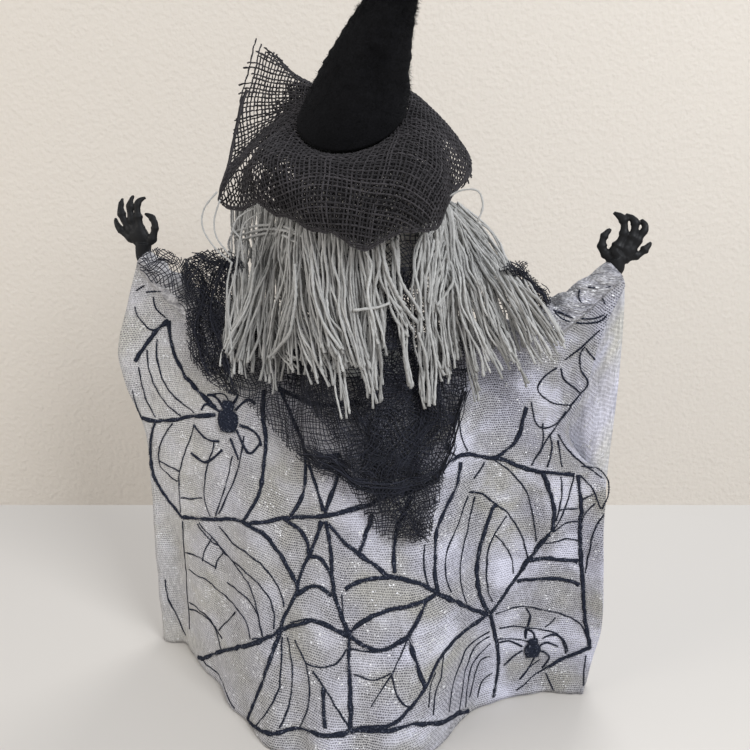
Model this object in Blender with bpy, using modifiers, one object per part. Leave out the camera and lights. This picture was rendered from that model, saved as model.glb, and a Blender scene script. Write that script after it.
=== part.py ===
"""Seasonal doll seen from behind: a foam cone in a printed knit robe, with raised arms,
a yarn wig, a gauze cape and a tall felt hat on a square of open sacking.

The doll faces +Y, its arms run along X and it stands on z = 0 about the origin.
"""
import bpy
import bmesh
from math import atan2, ceil, cos, degrees, pi, radians, sin, sqrt
from mathutils import Vector
from mathutils.geometry import delaunay_2d_cdt

MM = 0.001
CLEARANCE = 0.3 * MM

# Body cone, neck and head
BODY_HEIGHT = 183 * MM
BODY_BASE_RADIUS = 55 * MM
BODY_TOP_RADIUS = 18 * MM
DOWEL_RADIUS = 4 * MM
DOWEL_IN_BODY = 13 * MM
DOWEL_IN_HEAD = 22 * MM
HEAD_RADIUS = 30 * MM
HEAD_HALF_HEIGHT = 38 * MM

# Arms: one bent wire through a cross bore of the cone
ARM_SPAN = 208 * MM
ARM_BORE_BELOW_TOP = 18 * MM
ARM_BORE_CLEARANCE = 0.7 * MM
ARM_WIRE_RADIUS = 1.3 * MM
WRIST_RISE = 38 * MM
# Distance from the middle and rise, in millimetres, of a wire that rises 38 over 104
ARM_CURVE = ((0, 0), (12, 0), (24, 0), (42, 5), (60, 7.5), (75, 13), (90, 24), (104, 38))

# Hands: a cuff in the sleeve's end, a palm and five bony fingers
CUFF_RADIUS = 3.2 * MM
CUFF_IN_SLEEVE = 4.5 * MM
WIRE_IN_CUFF = 3 * MM
PALM_HALF_WIDTH = 4.8 * MM
PALM_HALF_THICKNESS = 2.8 * MM
PALM_HALF_HEIGHT = 5.2 * MM
FINGER_RADIUS = 1.2 * MM
FINGERTIP_RADIUS = 0.6 * MM
FINGER_CURL = 2.5 * MM
# Joints of each finger from the wrist, outward and upward in millimetres, thumb first
RIGHT_FINGERS = (
    ((0, 4), (-5.4, 7.6), (-5.6, 13), (-2.5, 17)),
    ((1.2, 8), (2.3, 16), (-1.2, 21.5)),
    ((3.2, 9), (6.4, 17.4), (3.2, 22.5)),
    ((4.4, 8), (9.8, 14.6), (9.4, 20.6)),
    ((4, 5.5), (10.4, 7.6), (13.2, 11.5)),
)
LEFT_FINGERS = (
    ((0, 4), (-5.2, 9), (-6.4, 14.6), (-2.8, 19)),
    ((0.8, 9), (1.6, 17.8), (-2, 25)),
    ((3.2, 10), (6.2, 18), (3, 26.5)),
    ((4.8, 9.4), (10.2, 16), (9, 25)),
    ((4.4, 7), (10.6, 11.4), (13.6, 17)),
)
RIGHT_PALM = (2.2, 6)
LEFT_PALM = (2.4, 6.8)

# Robe: one sheet over the arms, with a back and a front panel
ROBE_WALL = 1.2 * MM
ROBE_OVER_BODY = 2.2 * MM
SLEEVE_RADIUS = 6.5 * MM
SLEEVE_TAPER = 22 * MM
SLEEVE_SEAM = radians(150)
NECK_HALF_WIDTH = 25 * MM
PANEL_DEPTH_AT_ARM = 3.2 * MM
HEM_LIFT = 0.7 * MM
HANG_POWER = 0.9
FOLD_SOFTNESS = 3 * MM
ROBE_COLUMNS = 30
BACK_ROWS = 13
SLEEVE_ROWS = 8
FRONT_ROWS = 8
# Level as a share of the bore's height, and how far the side edges hang beyond the wrists, in millimetres
LEFT_OVERHANG = ((0, 6.5), (0.27, 6), (0.5, 6.5), (1.11, 6.5), (1.2, 5), (1.27, 3))
RIGHT_OVERHANG = ((0, 3), (0.4, 4), (0.68, 4), (0.9, 5), (1.18, 4), (1.24, 0))
# The same for how far the back edge bellies out on the left and is drawn in on the right
LEFT_BELLY = ((0.7, 0), (0.81, 5.5), (0.93, 10.5), (0.99, 9.5), (1.11, 3.5), (1.21, 0))
RIGHT_NOTCH = ((0, 2), (0.51, 1), (0.68, 2), (0.73, 12), (0.81, 19), (0.91, 14), (1.08, 8), (1.19, 0))
EDGE_SHARPNESS = 8
# Share of the way across, and distance of the hem behind or before the arms, in millimetres
BACK_HEM = ((0, -3), (0.065, 1), (0.113, 10.8), (0.206, 29.4), (0.3, 50), (0.371, 61), (0.548, 70),
            (0.66, 62), (0.708, 47), (0.746, 27), (0.807, 14.6), (0.891, 4.7), (1, 0.5))
FRONT_HEM = ((0, 7), (0.08, 12), (0.2, 34), (0.35, 58), (0.5, 66), (0.65, 58), (0.8, 34), (0.92, 13),
             (1, 7))

# Spider-web print on the back panel
PRINT_LINE = 2.6 * MM
PRINT_THICKNESS = 0.6 * MM
PRINT_OVER_ROBE = 1.6 * MM
PRINT_STEP = 7 * MM
PRINT_WELD = 0.1 * MM
# Threads of the web from knot to knot, across and up in millimetres from the floor's middle
WEB_THREADS = (
    ((-108, 126), (-100, 125)),
    ((-100, 125), (-72, 131)),
    ((-100, 125), (-106, 112), (-104, 93), (-92, 77)),
    ((-92, 77), (-70, 80), (-53, 87)),
    ((-53, 87), (-29, 94)),
    ((-29, 94), (-11, 99)),
    ((-44, 146), (-43, 130), (-43, 115), (-46, 100), (-53, 87)),
    ((-38, 147), (-28, 129), (-23, 121)),
    ((-23, 121), (-21, 107), (-29, 94)),
    ((-38, 147), (-13, 145), (7, 153)),
    ((-23, 121), (-11, 123), (-2, 127)),
    ((7, 153), (1, 141), (-2, 127)),
    ((-2, 127), (-7, 112), (-11, 99)),
    ((-23, 121), (-16, 110), (-11, 99)),
    ((7, 153), (13, 131), (24, 110)),
    ((-11, 99), (-16, 89), (-18, 81)),
    ((-11, 99), (-6, 81)),
    ((-11, 99), (-3, 92), (4, 85)),
    ((-11, 99), (10, 106)),
    ((10, 106), (6, 94), (4, 85)),
    ((10, 106), (24, 110)),
    ((24, 110), (36, 116), (45, 122)),
    ((45, 122), (56, 120)),
    ((-29, 94), (-21, 89), (-18, 81)),
    ((-18, 81), (-12, 80), (-6, 81)),
    ((-6, 81), (-1, 84), (4, 85)),
    ((4, 85), (13, 81), (21, 76)),
    ((24, 110), (19, 93), (21, 76)),
    ((45, 122), (42, 107), (36, 89), (37, 68)),
    ((56, 120), (66, 127), (71, 143)),
    ((56, 120), (81, 113)),
    ((81, 113), (94, 113)),
    ((81, 113), (85, 100), (86, 87)),
    ((94, 113), (90, 100), (86, 87)),
    ((86, 87), (76, 71)),
    ((76, 71), (70, 61)),
    ((70, 61), (60, 45)),
    ((76, 71), (87, 72), (98, 71)),
    ((70, 61), (85, 62), (100, 59)),
    ((94, 113), (97, 90), (98, 71)),
    ((98, 71), (100, 59)),
    ((100, 59), (102, 45), (102, 28)),
    ((102, 28), (89, 17), (74, 5)),
    ((21, 76), (37, 68)),
    ((37, 68), (49, 57), (60, 45)),
    ((-4, 68), (4, 74), (12, 77), (21, 76)),
    ((-22, 66), (-13, 70), (-4, 68)),
    ((-18, 81), (-22, 66)),
    ((-6, 81), (-4, 68)),
    ((-53, 87), (-37, 84), (-27, 74), (-22, 66)),
    ((-22, 66), (-29, 48)),
    ((-29, 48), (-14, 55), (3, 52)),
    ((-4, 68), (3, 52)),
    ((3, 52), (6, 17)),
    ((-29, 48), (-52, 31), (-86, 4)),
    ((-29, 48), (-36, 26), (-44, 5)),
    ((-44, 5), (6, 17)),
    ((3, 52), (16, 48), (27, 52)),
    ((3, 52), (19, 63), (37, 68)),
    ((37, 68), (27, 52)),
    ((27, 52), (35, 30)),
    ((60, 45), (44, 41), (35, 30)),
    ((35, 30), (20, 20), (6, 17)),
    ((60, 45), (64, 25), (63, 5)),
    ((6, 17), (24, 12), (54, 4)),
    ((60, 45), (53, 68), (60, 98)),
)
# Flocked spiders: place across and up, size of body and reach of legs, in millimetres
SPIDERS = {"spider_large": ((-61, 134), 4.6, 8.6), "spider_small": ((83, 30), 3, 6)}
SPIDER_LEGS = 8
SPIDER_OVER_ROBE = 0.6 * MM

# Gauze cape: heights of its edges above the arm bore, by distance across, in millimetres
CAPE_WALL = 0.8 * MM
CAPE_OVER_ROBE = 4.1 * MM
STEEPEST = 0.4
CAPE_RUFFLE = 1.4 * MM
CAPE_RUFFLE_PITCH = 13 * MM
CAPE_COLUMNS = 34
CAPE_ROWS = 8
CAPE_TOP = ((-80, 39), (-60, 44), (-45, 30), (-25, 19), (0, 15), (25, 19), (45, 22), (60, 40), (78, 28))
CAPE_BOTTOM = ((-80, -7), (-70, -17), (-56, -23), (-42, -33), (-27, -43), (-8, -49), (1, -51), (10, -68),
               (22, -73), (36, -68), (39.5, -42), (43, -25), (49, 1), (62, 19), (78, 20))

# Yarn wig in locks of three strands, from under the hat to the shoulders
YARN_THICKNESS = 2.2 * MM
HAIR_ROOT_BELOW_CROWN = 17 * MM
HAIR_FULL_BELOW_CROWN = 44 * MM
HAIR_ROOT_LIFT = 0.4 * MM
HAIR_OVER_HEAD = 6.5 * MM
HAIR_OVER_CAPE = 0.5 * MM
HAIR_END_LEVEL = 5 * MM
HAIR_FAN_POWER = 1.3
LOCK_GAP = 0.6 * MM
HAIR_ROW = 11 * MM
BACK_LOCKS = 15
BACK_HAIR_ANGLES = (radians(-88), radians(42))
RIGHT_LOCKS = 8
RIGHT_ROOTS = ((31 * MM, -27 * MM), (44 * MM, -17 * MM))
RIGHT_ROOT_BELOW_CROWN = 27 * MM
RIGHT_ENDS = (30 * MM, 88 * MM)
SIDE_HAIR_LENGTH = 44 * MM
LEFT_SIDE_LOCKS = 2
LEFT_SIDE_ANGLES = (radians(-108), radians(-91))
RIGHT_SIDE_LOCKS = 2
RIGHT_SIDE_ANGLES = (radians(88), radians(106))
# Angle in degrees from straight behind, and distance across where the lock ends, in millimetres
BACK_HAIR_SPREAD = ((-88, -54), (-40, -30), (0, 1), (42, 27))
# Distance across, and height of the ends of the hair above the arm bore, in millimetres
HAIR_ENDS = ((-54, -2), (-32, -7), (-14, -2), (0, -16), (13, -7), (26, -3), (33, -18), (42, -3), (60, -7),
             (72, -7), (88, 2))
END_STAGGER = 4 * MM

# Hat: a felt cone on a draped square of open sacking
BRIM_WALL = 1.4 * MM
BRIM_OVER_HEAD = 0.5 * MM
BRIM_BULGE = 6 * MM
BRIM_COLUMNS = 44
BRIM_ROWS = 12
BRIM_ROWS_UNDER_HAT = 4
HAT_BASE_RADIUS = 22.5 * MM
HAT_BASE_OVER_CROWN = 4.2 * MM
HAT_BASE_ACROSS = -3 * MM
HAT_BASE_BACK = 13 * MM
HAT_TILT_BACK = radians(44)
HAT_TILT_SIDE = radians(-4)
HAT_LEAN_RIGHT = 37 * MM
HAT_LEAN_BACK = 45 * MM
HAT_RISE = 63 * MM
HAT_TIP_RADIUS = 2.2 * MM
HAT_SIDES = 24
HAT_RINGS = 8
# Edge of the sacking from its frayed corner round the back, in millimetres:
# across, forward, and height above the crown of the head
BRIM_EDGE = ((-45, 12, 31), (-60, 6, 13), (-66, 0, -9), (-67, -10, -35), (-42, -38, -40), (-12, -47, -42),
             (3, -48, -45), (21, -45, -42), (37, -36, -33), (44, -22, -23), (48, -2, -15), (40, 22, -4),
             (8, 44, 3), (-22, 36, 13))

# What one millimetre of a table stands for, when the size that it was drawn for changes
ACROSS = ARM_SPAN / 208
DEEP = BODY_BASE_RADIUS / 55
HEAD_UNIT = HEAD_RADIUS / 30
HAND_UNIT = PALM_HALF_WIDTH / 4.8

ARM_HEIGHT = BODY_HEIGHT - ARM_BORE_BELOW_TOP
UPWARD = ARM_HEIGHT / 165
HALF_SPAN = ARM_SPAN / 2
WRIST_SLEEVE_RADIUS = CUFF_RADIUS + CLEARANCE + ROBE_WALL / 2
HEAD_HEIGHT = BODY_HEIGHT + CLEARANCE + HEAD_HALF_HEIGHT
CROWN = HEAD_HEIGHT + HEAD_HALF_HEIGHT
BACKWARD = Vector((0, -1, 0))

parts = bpy.data.collections.new("ghost_figurine")
cutters = bpy.data.collections.new("cutters")


def along(table, place):
    """Value at a place on the smooth curve through a table's points."""
    if place <= table[0][0]:
        return table[0][1]
    if place >= table[-1][0]:
        return table[-1][1]
    last = len(table) - 2
    i = max(k for k in range(last + 1) if table[k][0] <= place)
    (x0, y0), (x1, y1) = table[i], table[i + 1]
    chord = (y1 - y0) / (x1 - x0)
    slope0 = chord if i == 0 else (y1 - table[i - 1][1]) / (x1 - table[i - 1][0])
    slope1 = chord if i == last else (table[i + 2][1] - y0) / (table[i + 2][0] - x0)
    h = x1 - x0
    t = (place - x0) / h
    ends = y0 * (1 + 2 * t) * (1 - t) ** 2 + y1 * t * t * (3 - 2 * t)
    return ends + slope0 * h * t * (1 - t) ** 2 + slope1 * h * t * t * (t - 1)


def smooth_points(points, step, closed=False):
    """Points a step or less apart on the smooth curve through the given ones."""
    count = len(points)
    spans = count if closed else count - 1
    result = []
    for i in range(spans):
        p0, p1, p2, p3 = (points[(i + k) % count] if closed else points[min(max(i + k, 0), count - 1)]
                          for k in (-1, 0, 1, 2))
        pieces = max(1, round((p2 - p1).length / step))
        for k in range(pieces):
            t = k / pieces
            result.append(0.5 * (2 * p1 + (p2 - p0) * t + (2 * p0 - 5 * p1 + 4 * p2 - p3) * t * t
                                 + (3 * p1 - p0 - 3 * p2 + p3) * t ** 3))
    if not closed:
        result.append(points[-1].copy())
    return result


def smooth_max(a, b, softness=FOLD_SOFTNESS):
    """The larger of two values, rounded over where they are close."""
    return (a + b + sqrt((a - b) ** 2 + softness ** 2)) / 2


def ease(t):
    """Smooth step from 0 to 1."""
    t = min(max(t, 0), 1)
    return t * t * (3 - 2 * t)


def mix(a, b, t):
    return a + (b - a) * t


def material(name, colour, roughness, metallic=0.0):
    """A plain principled material."""
    made = bpy.data.materials.new(name)
    made.use_nodes = True
    shader = made.node_tree.nodes["Principled BSDF"]
    shader.inputs["Base Color"].default_value = (*colour, 1)
    shader.inputs["Roughness"].default_value = roughness
    shader.inputs["Metallic"].default_value = metallic
    made.diffuse_color = (*colour, 1)
    return made


FOAM = material("white_foam", (0.82, 0.82, 0.8), 0.8)
WOOD = material("dowel_wood", (0.6, 0.45, 0.28), 0.6)
MUSLIN = material("muslin", (0.66, 0.63, 0.58), 0.9)
WIRE = material("steel_wire", (0.5, 0.5, 0.52), 0.35, 1.0)
PLASTIC = material("black_plastic", (0.015, 0.015, 0.016), 0.5)
KNIT = material("silver_knit", (0.55, 0.54, 0.56), 0.6, 0.1)
FLOCK = material("flocked_print", (0.014, 0.017, 0.026), 0.95)
GAUZE = material("black_gauze", (0.02, 0.02, 0.022), 0.9)
YARN = material("grey_yarn", (0.43, 0.42, 0.4), 0.95)
SACKING = material("dark_sacking", (0.06, 0.052, 0.047), 0.95)
FELT = material("black_felt", (0.008, 0.008, 0.009), 1.0)


def add_object(name, mesh, paint, smooth=True, collection=parts):
    """Put a mesh in the scene as one named piece."""
    if smooth:
        mesh.shade_smooth()
        mesh.set_sharp_from_angle(angle=radians(40))
    mesh.materials.append(paint)
    made = bpy.data.objects.new(name, mesh)
    collection.objects.link(made)
    return made


def from_bmesh(name, bm, paint, smooth=True):
    mesh = bpy.data.meshes.new(name)
    bmesh.ops.recalc_face_normals(bm, faces=bm.faces)
    bm.to_mesh(mesh)
    bm.free()
    return add_object(name, mesh, paint, smooth)


def add_wall(sheet_object, wall):
    """Give a sheet its thickness, half to each side."""
    thicken = sheet_object.modifiers.new("wall", "SOLIDIFY")
    thicken.thickness = wall
    thicken.offset = 0


def sheet(name, columns, rows, place, wall, paint, is_gap=None):
    """A cloth: a grid laid out by place(across, along), with the gaps left open."""
    bm = bmesh.new()
    bmesh.ops.create_grid(bm, x_segments=columns, y_segments=rows, size=0.5)
    if is_gap:
        centres = [(face, face.calc_center_median()) for face in bm.faces]
        gaps = [face for face, middle in centres if is_gap(middle.x + 0.5, middle.y + 0.5)]
        bmesh.ops.delete(bm, geom=gaps, context="FACES")
    for vert in bm.verts:
        vert.co = place(vert.co.x + 0.5, vert.co.y + 0.5)
    bmesh.ops.remove_doubles(bm, verts=bm.verts, dist=0.01 * MM)
    add_wall(from_bmesh(name, bm, paint), wall)


def loft(name, sections, paint, smooth=True):
    """A closed solid through sections that have the same number of points."""
    bm = bmesh.new()
    rings = [[bm.verts.new(point) for point in section] for section in sections]
    count = len(rings[0])
    for lower, upper in zip(rings, rings[1:]):
        for i in range(count):
            j = (i + 1) % count
            bm.faces.new((lower[i], lower[j], upper[j], upper[i]))
    bm.faces.new(reversed(rings[0]))
    bm.faces.new(rings[-1])
    return from_bmesh(name, bm, paint, smooth)


def cylinder(name, start, end, radius, sides, paint, collection=parts):
    """A round rod from start to end."""
    bm = bmesh.new()
    axis = end - start
    bmesh.ops.create_cone(bm, cap_ends=True, segments=sides, radius1=radius, radius2=radius,
                          depth=axis.length)
    turn = Vector((0, 0, 1)).rotation_difference(axis).to_matrix().to_4x4()
    turn.translation = (start + end) / 2
    bmesh.ops.transform(bm, matrix=turn, verts=bm.verts)
    mesh = bpy.data.meshes.new(name)
    bm.to_mesh(mesh)
    bm.free()
    made = add_object(name, mesh, paint, collection=collection)
    if collection is cutters:
        made.display_type = "WIRE"
        made.hide_render = True
    return made


def combine(target, tool, operation):
    """Cut a tool from a piece, or join it on."""
    change = target.modifiers.new(tool.name, "BOOLEAN")
    change.operation = operation
    change.solver = "EXACT"
    change.object = tool


def rod_mesh(name, points, radii):
    """A capped tube along points, as a mesh whose caps are welded on."""
    curve = bpy.data.curves.new(name, "CURVE")
    curve.dimensions = "3D"
    curve.bevel_depth = 1
    curve.bevel_resolution = 2
    curve.use_fill_caps = True
    spline = curve.splines.new("POLY")
    spline.points.add(len(points) - 1)
    for target, point, radius in zip(spline.points, points, radii):
        target.co = (*point, 1)
        target.radius = radius
    holder = bpy.data.objects.new(name + "_curve", curve)
    bpy.context.scene.collection.objects.link(holder)
    bpy.context.view_layer.update()
    depsgraph = bpy.context.evaluated_depsgraph_get()
    mesh = bpy.data.meshes.new_from_object(holder.evaluated_get(depsgraph))
    bpy.data.objects.remove(holder)
    bpy.data.curves.remove(curve)
    bm = bmesh.new()
    bm.from_mesh(mesh)
    bmesh.ops.remove_doubles(bm, verts=bm.verts, dist=0.001 * MM)
    bmesh.ops.recalc_face_normals(bm, faces=bm.faces)
    bm.to_mesh(mesh)
    bm.free()
    mesh.name = name
    return mesh


def body_radius(z):
    """Radius of the cone at a height."""
    return mix(BODY_BASE_RADIUS, BODY_TOP_RADIUS, min(max(z / BODY_HEIGHT, 0), 1))


def head_radius(z):
    """Radius of the egg-shaped head at a height."""
    return HEAD_RADIUS * sqrt(max(1 - ((z - HEAD_HEIGHT) / HEAD_HALF_HEIGHT) ** 2, 0))


def head_top(x, y):
    """Height of the head's upper surface, or of its middle beyond its edge."""
    return HEAD_HEIGHT + HEAD_HALF_HEIGHT * sqrt(max(1 - (x * x + y * y) / HEAD_RADIUS ** 2, 0))


def arm_height(x):
    """Height of the arm wire's middle."""
    reach, rise = ARM_CURVE[-1]
    return ARM_HEIGHT + along(ARM_CURVE, abs(x) / HALF_SPAN * reach) / rise * WRIST_RISE


def arm_direction(x):
    """Unit vector along the arm wire, towards +X."""
    step = 0.5 * MM
    low = min(max(x - step, -HALF_SPAN), HALF_SPAN - step)
    return Vector((step, 0, arm_height(low + step) - arm_height(low))).normalized()


def panel_across(share, z, drawn=True):
    """Place across a panel, from its left edge at share 0 to its right edge at 1."""
    level = z / ARM_HEIGHT
    left = -HALF_SPAN - along(LEFT_OVERHANG, level) * ACROSS
    right = HALF_SPAN + along(RIGHT_OVERHANG, level) * ACROSS
    x = mix(left, right, share)
    if drawn:
        x -= along(LEFT_BELLY, level) * ACROSS * (1 - share) ** EDGE_SHARPNESS
        x -= along(RIGHT_NOTCH, level) * ACROSS * share ** EDGE_SHARPNESS
    return x


def robe_depth(x, z, hem=BACK_HEM):
    """Distance of a panel's middle surface behind (or before) the arms."""
    level = min(max(z / ARM_HEIGHT, 0), 1)
    left, right = panel_across(0, 0), panel_across(1, 0)
    share = min(max((x - left) / (right - left), 0), 1)
    hanging = mix(PANEL_DEPTH_AT_ARM, along(hem, share) * DEEP, (1 - level) ** HANG_POWER)
    reach = body_radius(z) + ROBE_OVER_BODY
    section = sqrt(reach ** 2 - x * x) if abs(x) < reach else reach - abs(x)
    return smooth_max(hanging, section)


def robe_normal(x, z):
    """Unit vector square to the back panel, outward."""
    step = 0.5 * MM
    across = (robe_depth(x + step, z) - robe_depth(x - step, z)) / (2 * step)
    up = (robe_depth(x, z + step) - robe_depth(x, z - step)) / (2 * step)
    return Vector((-across, -1, -up)).normalized()


def over_robe(x, z, lift):
    """A point at a lift outside the back panel's middle surface."""
    return Vector((x, -robe_depth(x, z), z)) + robe_normal(x, z) * lift


def cape_depth(x, z):
    """Distance of the gauze's middle surface behind the arms, without its ruffle."""
    lift = CAPE_OVER_ROBE / max(-robe_normal(x, z).y, STEEPEST)
    return smooth_max(robe_depth(x, z) + lift, SLEEVE_RADIUS + CAPE_OVER_ROBE)


def sleeve_radius(x):
    """Radius of the sleeve's middle surface, which narrows to the cuff."""
    share = min((HALF_SPAN - abs(x)) / SLEEVE_TAPER, 1)
    return mix(WRIST_SLEEVE_RADIUS, SLEEVE_RADIUS, share)


def sleeve_point(x, angle):
    """A point round the arm: angle 0 on top, negative towards the back."""
    along_arm = arm_direction(x)
    upward = Vector((-along_arm.z, 0, along_arm.x))
    outward = upward * cos(angle) - BACKWARD * sin(angle)
    return Vector((x, 0, arm_height(x))) + outward * sleeve_radius(x)


def panel_point(share, fall, hem, side):
    """A point on a panel: fall 0 at the sleeve, 1 at the hem; side -1 behind, 1 before."""
    seam = sleeve_point((share - 0.5) * ARM_SPAN, side * SLEEVE_SEAM)
    z = mix(seam.z, HEM_LIFT, fall)
    drawn = side < 0
    pull = (seam.x - panel_across(share, seam.z, drawn)) * (1 - fall) ** 4
    x = panel_across(share, z, drawn) + pull
    return Vector((x, side * robe_depth(x, z, hem), z))


def robe_point(share, length):
    """A point of the robe from the back hem over the arms to the front hem."""
    row = length * (BACK_ROWS + SLEEVE_ROWS + FRONT_ROWS)
    if row < BACK_ROWS + 0.5:
        return panel_point(share, 1 - row / BACK_ROWS, BACK_HEM, -1)
    row -= BACK_ROWS
    if row < SLEEVE_ROWS - 0.5:
        return sleeve_point((share - 0.5) * ARM_SPAN, mix(-SLEEVE_SEAM, SLEEVE_SEAM, row / SLEEVE_ROWS))
    return panel_point(share, (row - SLEEVE_ROWS) / FRONT_ROWS, FRONT_HEM, 1)


def is_neck(share, length):
    """Whether a place on the robe's grid is in its neck opening."""
    row = length * (BACK_ROWS + SLEEVE_ROWS + FRONT_ROWS) - BACK_ROWS
    return 0 < row < SLEEVE_ROWS and abs(share - 0.5) * ARM_SPAN < NECK_HALF_WIDTH


def make_body():
    """Foam cone with a blind bore for the neck and a cross bore for the arm wire."""
    bm = bmesh.new()
    bmesh.ops.create_cone(bm, cap_ends=True, segments=40, radius1=BODY_BASE_RADIUS,
                          radius2=BODY_TOP_RADIUS, depth=BODY_HEIGHT)
    bmesh.ops.translate(bm, vec=(0, 0, BODY_HEIGHT / 2), verts=bm.verts)
    body = from_bmesh("body_cone", bm, FOAM)
    top = Vector((0, 0, BODY_HEIGHT))
    depth = Vector((0, 0, DOWEL_IN_BODY + CLEARANCE))
    neck_bore = cylinder("neck_bore", top - depth, top + depth, DOWEL_RADIUS + CLEARANCE, 20, WOOD, cutters)
    combine(body, neck_bore, "DIFFERENCE")
    reach = Vector((BODY_BASE_RADIUS, 0, 0))
    middle = Vector((0, 0, ARM_HEIGHT))
    arm_bore = cylinder("arm_bore", middle - reach, middle + reach, ARM_WIRE_RADIUS + ARM_BORE_CLEARANCE,
                        12, WIRE, cutters)
    combine(body, arm_bore, "DIFFERENCE")


def make_neck_and_head():
    """Wooden dowel that carries the egg-shaped, cloth-covered head."""
    low = Vector((0, 0, BODY_HEIGHT - DOWEL_IN_BODY))
    high = Vector((0, 0, BODY_HEIGHT + CLEARANCE + DOWEL_IN_HEAD))
    cylinder("neck_dowel", low, high, DOWEL_RADIUS, 20, WOOD)
    bm = bmesh.new()
    bmesh.ops.create_uvsphere(bm, u_segments=18, v_segments=11, radius=1)
    bmesh.ops.scale(bm, vec=(HEAD_RADIUS, HEAD_RADIUS, HEAD_HALF_HEIGHT), verts=bm.verts)
    bmesh.ops.translate(bm, vec=(0, 0, HEAD_HEIGHT), verts=bm.verts)
    head = from_bmesh("head", bm, MUSLIN)
    head_bore = cylinder("head_bore", low, high + Vector((0, 0, CLEARANCE)), DOWEL_RADIUS + CLEARANCE, 20,
                         WOOD, cutters)
    combine(head, head_bore, "DIFFERENCE")


def make_arm_wire():
    """Bent wire whose ends sit in the hands' cuffs."""
    end = HALF_SPAN - (CUFF_IN_SLEEVE - WIRE_IN_CUFF) * arm_direction(HALF_SPAN).x
    count = 16
    points = [Vector((x, 0, arm_height(x))) for x in (mix(-end, end, i / count) for i in range(count + 1))]
    mesh = rod_mesh("arm_wire", points, [ARM_WIRE_RADIUS] * len(points))
    add_object("arm_wire", mesh, WIRE)


def make_hand(name, side, palm, fingers):
    """Bony hand on a round cuff, moulded as one piece."""
    wrist = Vector((side * HALF_SPAN, 0, arm_height(HALF_SPAN)))
    sleeve_axis = arm_direction(side * HALF_SPAN) * side
    palm_middle = wrist + Vector((side * palm[0], 0, palm[1])) * HAND_UNIT
    cuff_end = wrist - sleeve_axis * CUFF_IN_SLEEVE
    cuff = rod_mesh(name, [cuff_end, wrist, palm_middle], [CUFF_RADIUS, CUFF_RADIUS, CUFF_RADIUS * 0.9])
    hand = add_object(name, cuff, PLASTIC)
    bm = bmesh.new()
    bmesh.ops.create_uvsphere(bm, u_segments=12, v_segments=8, radius=1)
    bmesh.ops.scale(bm, vec=(PALM_HALF_WIDTH, PALM_HALF_THICKNESS, PALM_HALF_HEIGHT), verts=bm.verts)
    bmesh.ops.translate(bm, vec=palm_middle, verts=bm.verts)
    mesh = bpy.data.meshes.new(name + "_palm")
    bm.to_mesh(mesh)
    bm.free()
    additions = [mesh]
    for number, joints in enumerate(fingers):
        last = len(joints) - 1
        points = [wrist + Vector((side * out, 0, up)) * HAND_UNIT - BACKWARD * FINGER_CURL * (i / last) ** 2
                  for i, (out, up) in enumerate(joints)]
        radii = [mix(FINGER_RADIUS, FINGERTIP_RADIUS, i / last) for i in range(last + 1)]
        additions.append(rod_mesh(f"{name}_finger_{number + 1}", points, radii))
    for mesh in additions:
        tool = add_object(mesh.name + "_tool", mesh, PLASTIC, collection=cutters)
        tool.hide_render = True
        tool.display_type = "WIRE"
        combine(hand, tool, "UNION")
    bore_end = cuff_end + sleeve_axis * (WIRE_IN_CUFF + CLEARANCE)
    bore = cylinder(name + "_bore", cuff_end - sleeve_axis * MM, bore_end, ARM_WIRE_RADIUS + CLEARANCE, 10,
                    WIRE, cutters)
    combine(hand, bore, "DIFFERENCE")


def thread_points(thread):
    """The points of one thread of the web, a step apart on the cloth."""
    return smooth_points([Vector((x * ACROSS, z * UPWARD)) for x, z in thread], PRINT_STEP)


def strip(points, half_width):
    """Quads of a strip of even width along points."""
    last = len(points) - 1
    sides = []
    for i, point in enumerate(points):
        heading = (points[min(i + 1, last)] - points[max(i - 1, 0)]).normalized()
        across = Vector((-heading.y, heading.x)) * half_width
        sides.append((point + across, point - across))
    return [(left, right, next_right, next_left)
            for (left, right), (next_left, next_right) in zip(sides, sides[1:])]


def holds(shape, point):
    """Whether a flat shape holds a point."""
    inside = False
    for a, b in zip(shape, [*shape[1:], shape[0]]):
        if (a.y > point.y) != (b.y > point.y):
            if point.x < mix(a.x, b.x, (point.y - a.y) / (b.y - a.y)):
                inside = not inside
    return inside


def flat_print(name, shapes, over, paint):
    """Flat shapes joined where they overlap, and laid over the back panel of the robe."""
    corners, faces = [], []
    for shape in shapes:
        faces.append(list(range(len(corners), len(corners) + len(shape))))
        corners += shape
    points, _, triangles, *_ = delaunay_2d_cdt(corners, [], faces, 0, PRINT_WELD / 100, False)
    bm = bmesh.new()
    lift = ROBE_WALL / 2 + over + PRINT_THICKNESS / 2
    verts = [bm.verts.new(over_robe(point.x, point.y, lift)) for point in points]
    for triangle in triangles:
        middle = sum((points[i] for i in triangle), Vector((0, 0))) / 3
        if any(holds(shape, middle) for shape in shapes):
            bm.faces.new([verts[i] for i in triangle])
    bmesh.ops.delete(bm, geom=[vert for vert in bm.verts if not vert.link_faces], context="VERTS")
    bmesh.ops.remove_doubles(bm, verts=bm.verts, dist=PRINT_WELD)
    made = from_bmesh(name, bm, paint, smooth=False)
    add_wall(made, PRINT_THICKNESS)


def make_web():
    """Web print: strips along the threads, joined at the knots."""
    shapes = []
    for thread in WEB_THREADS:
        shapes += strip(thread_points(thread), PRINT_LINE / 2)
    flat_print("web_print", shapes, PRINT_OVER_ROBE, FLOCK)


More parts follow.
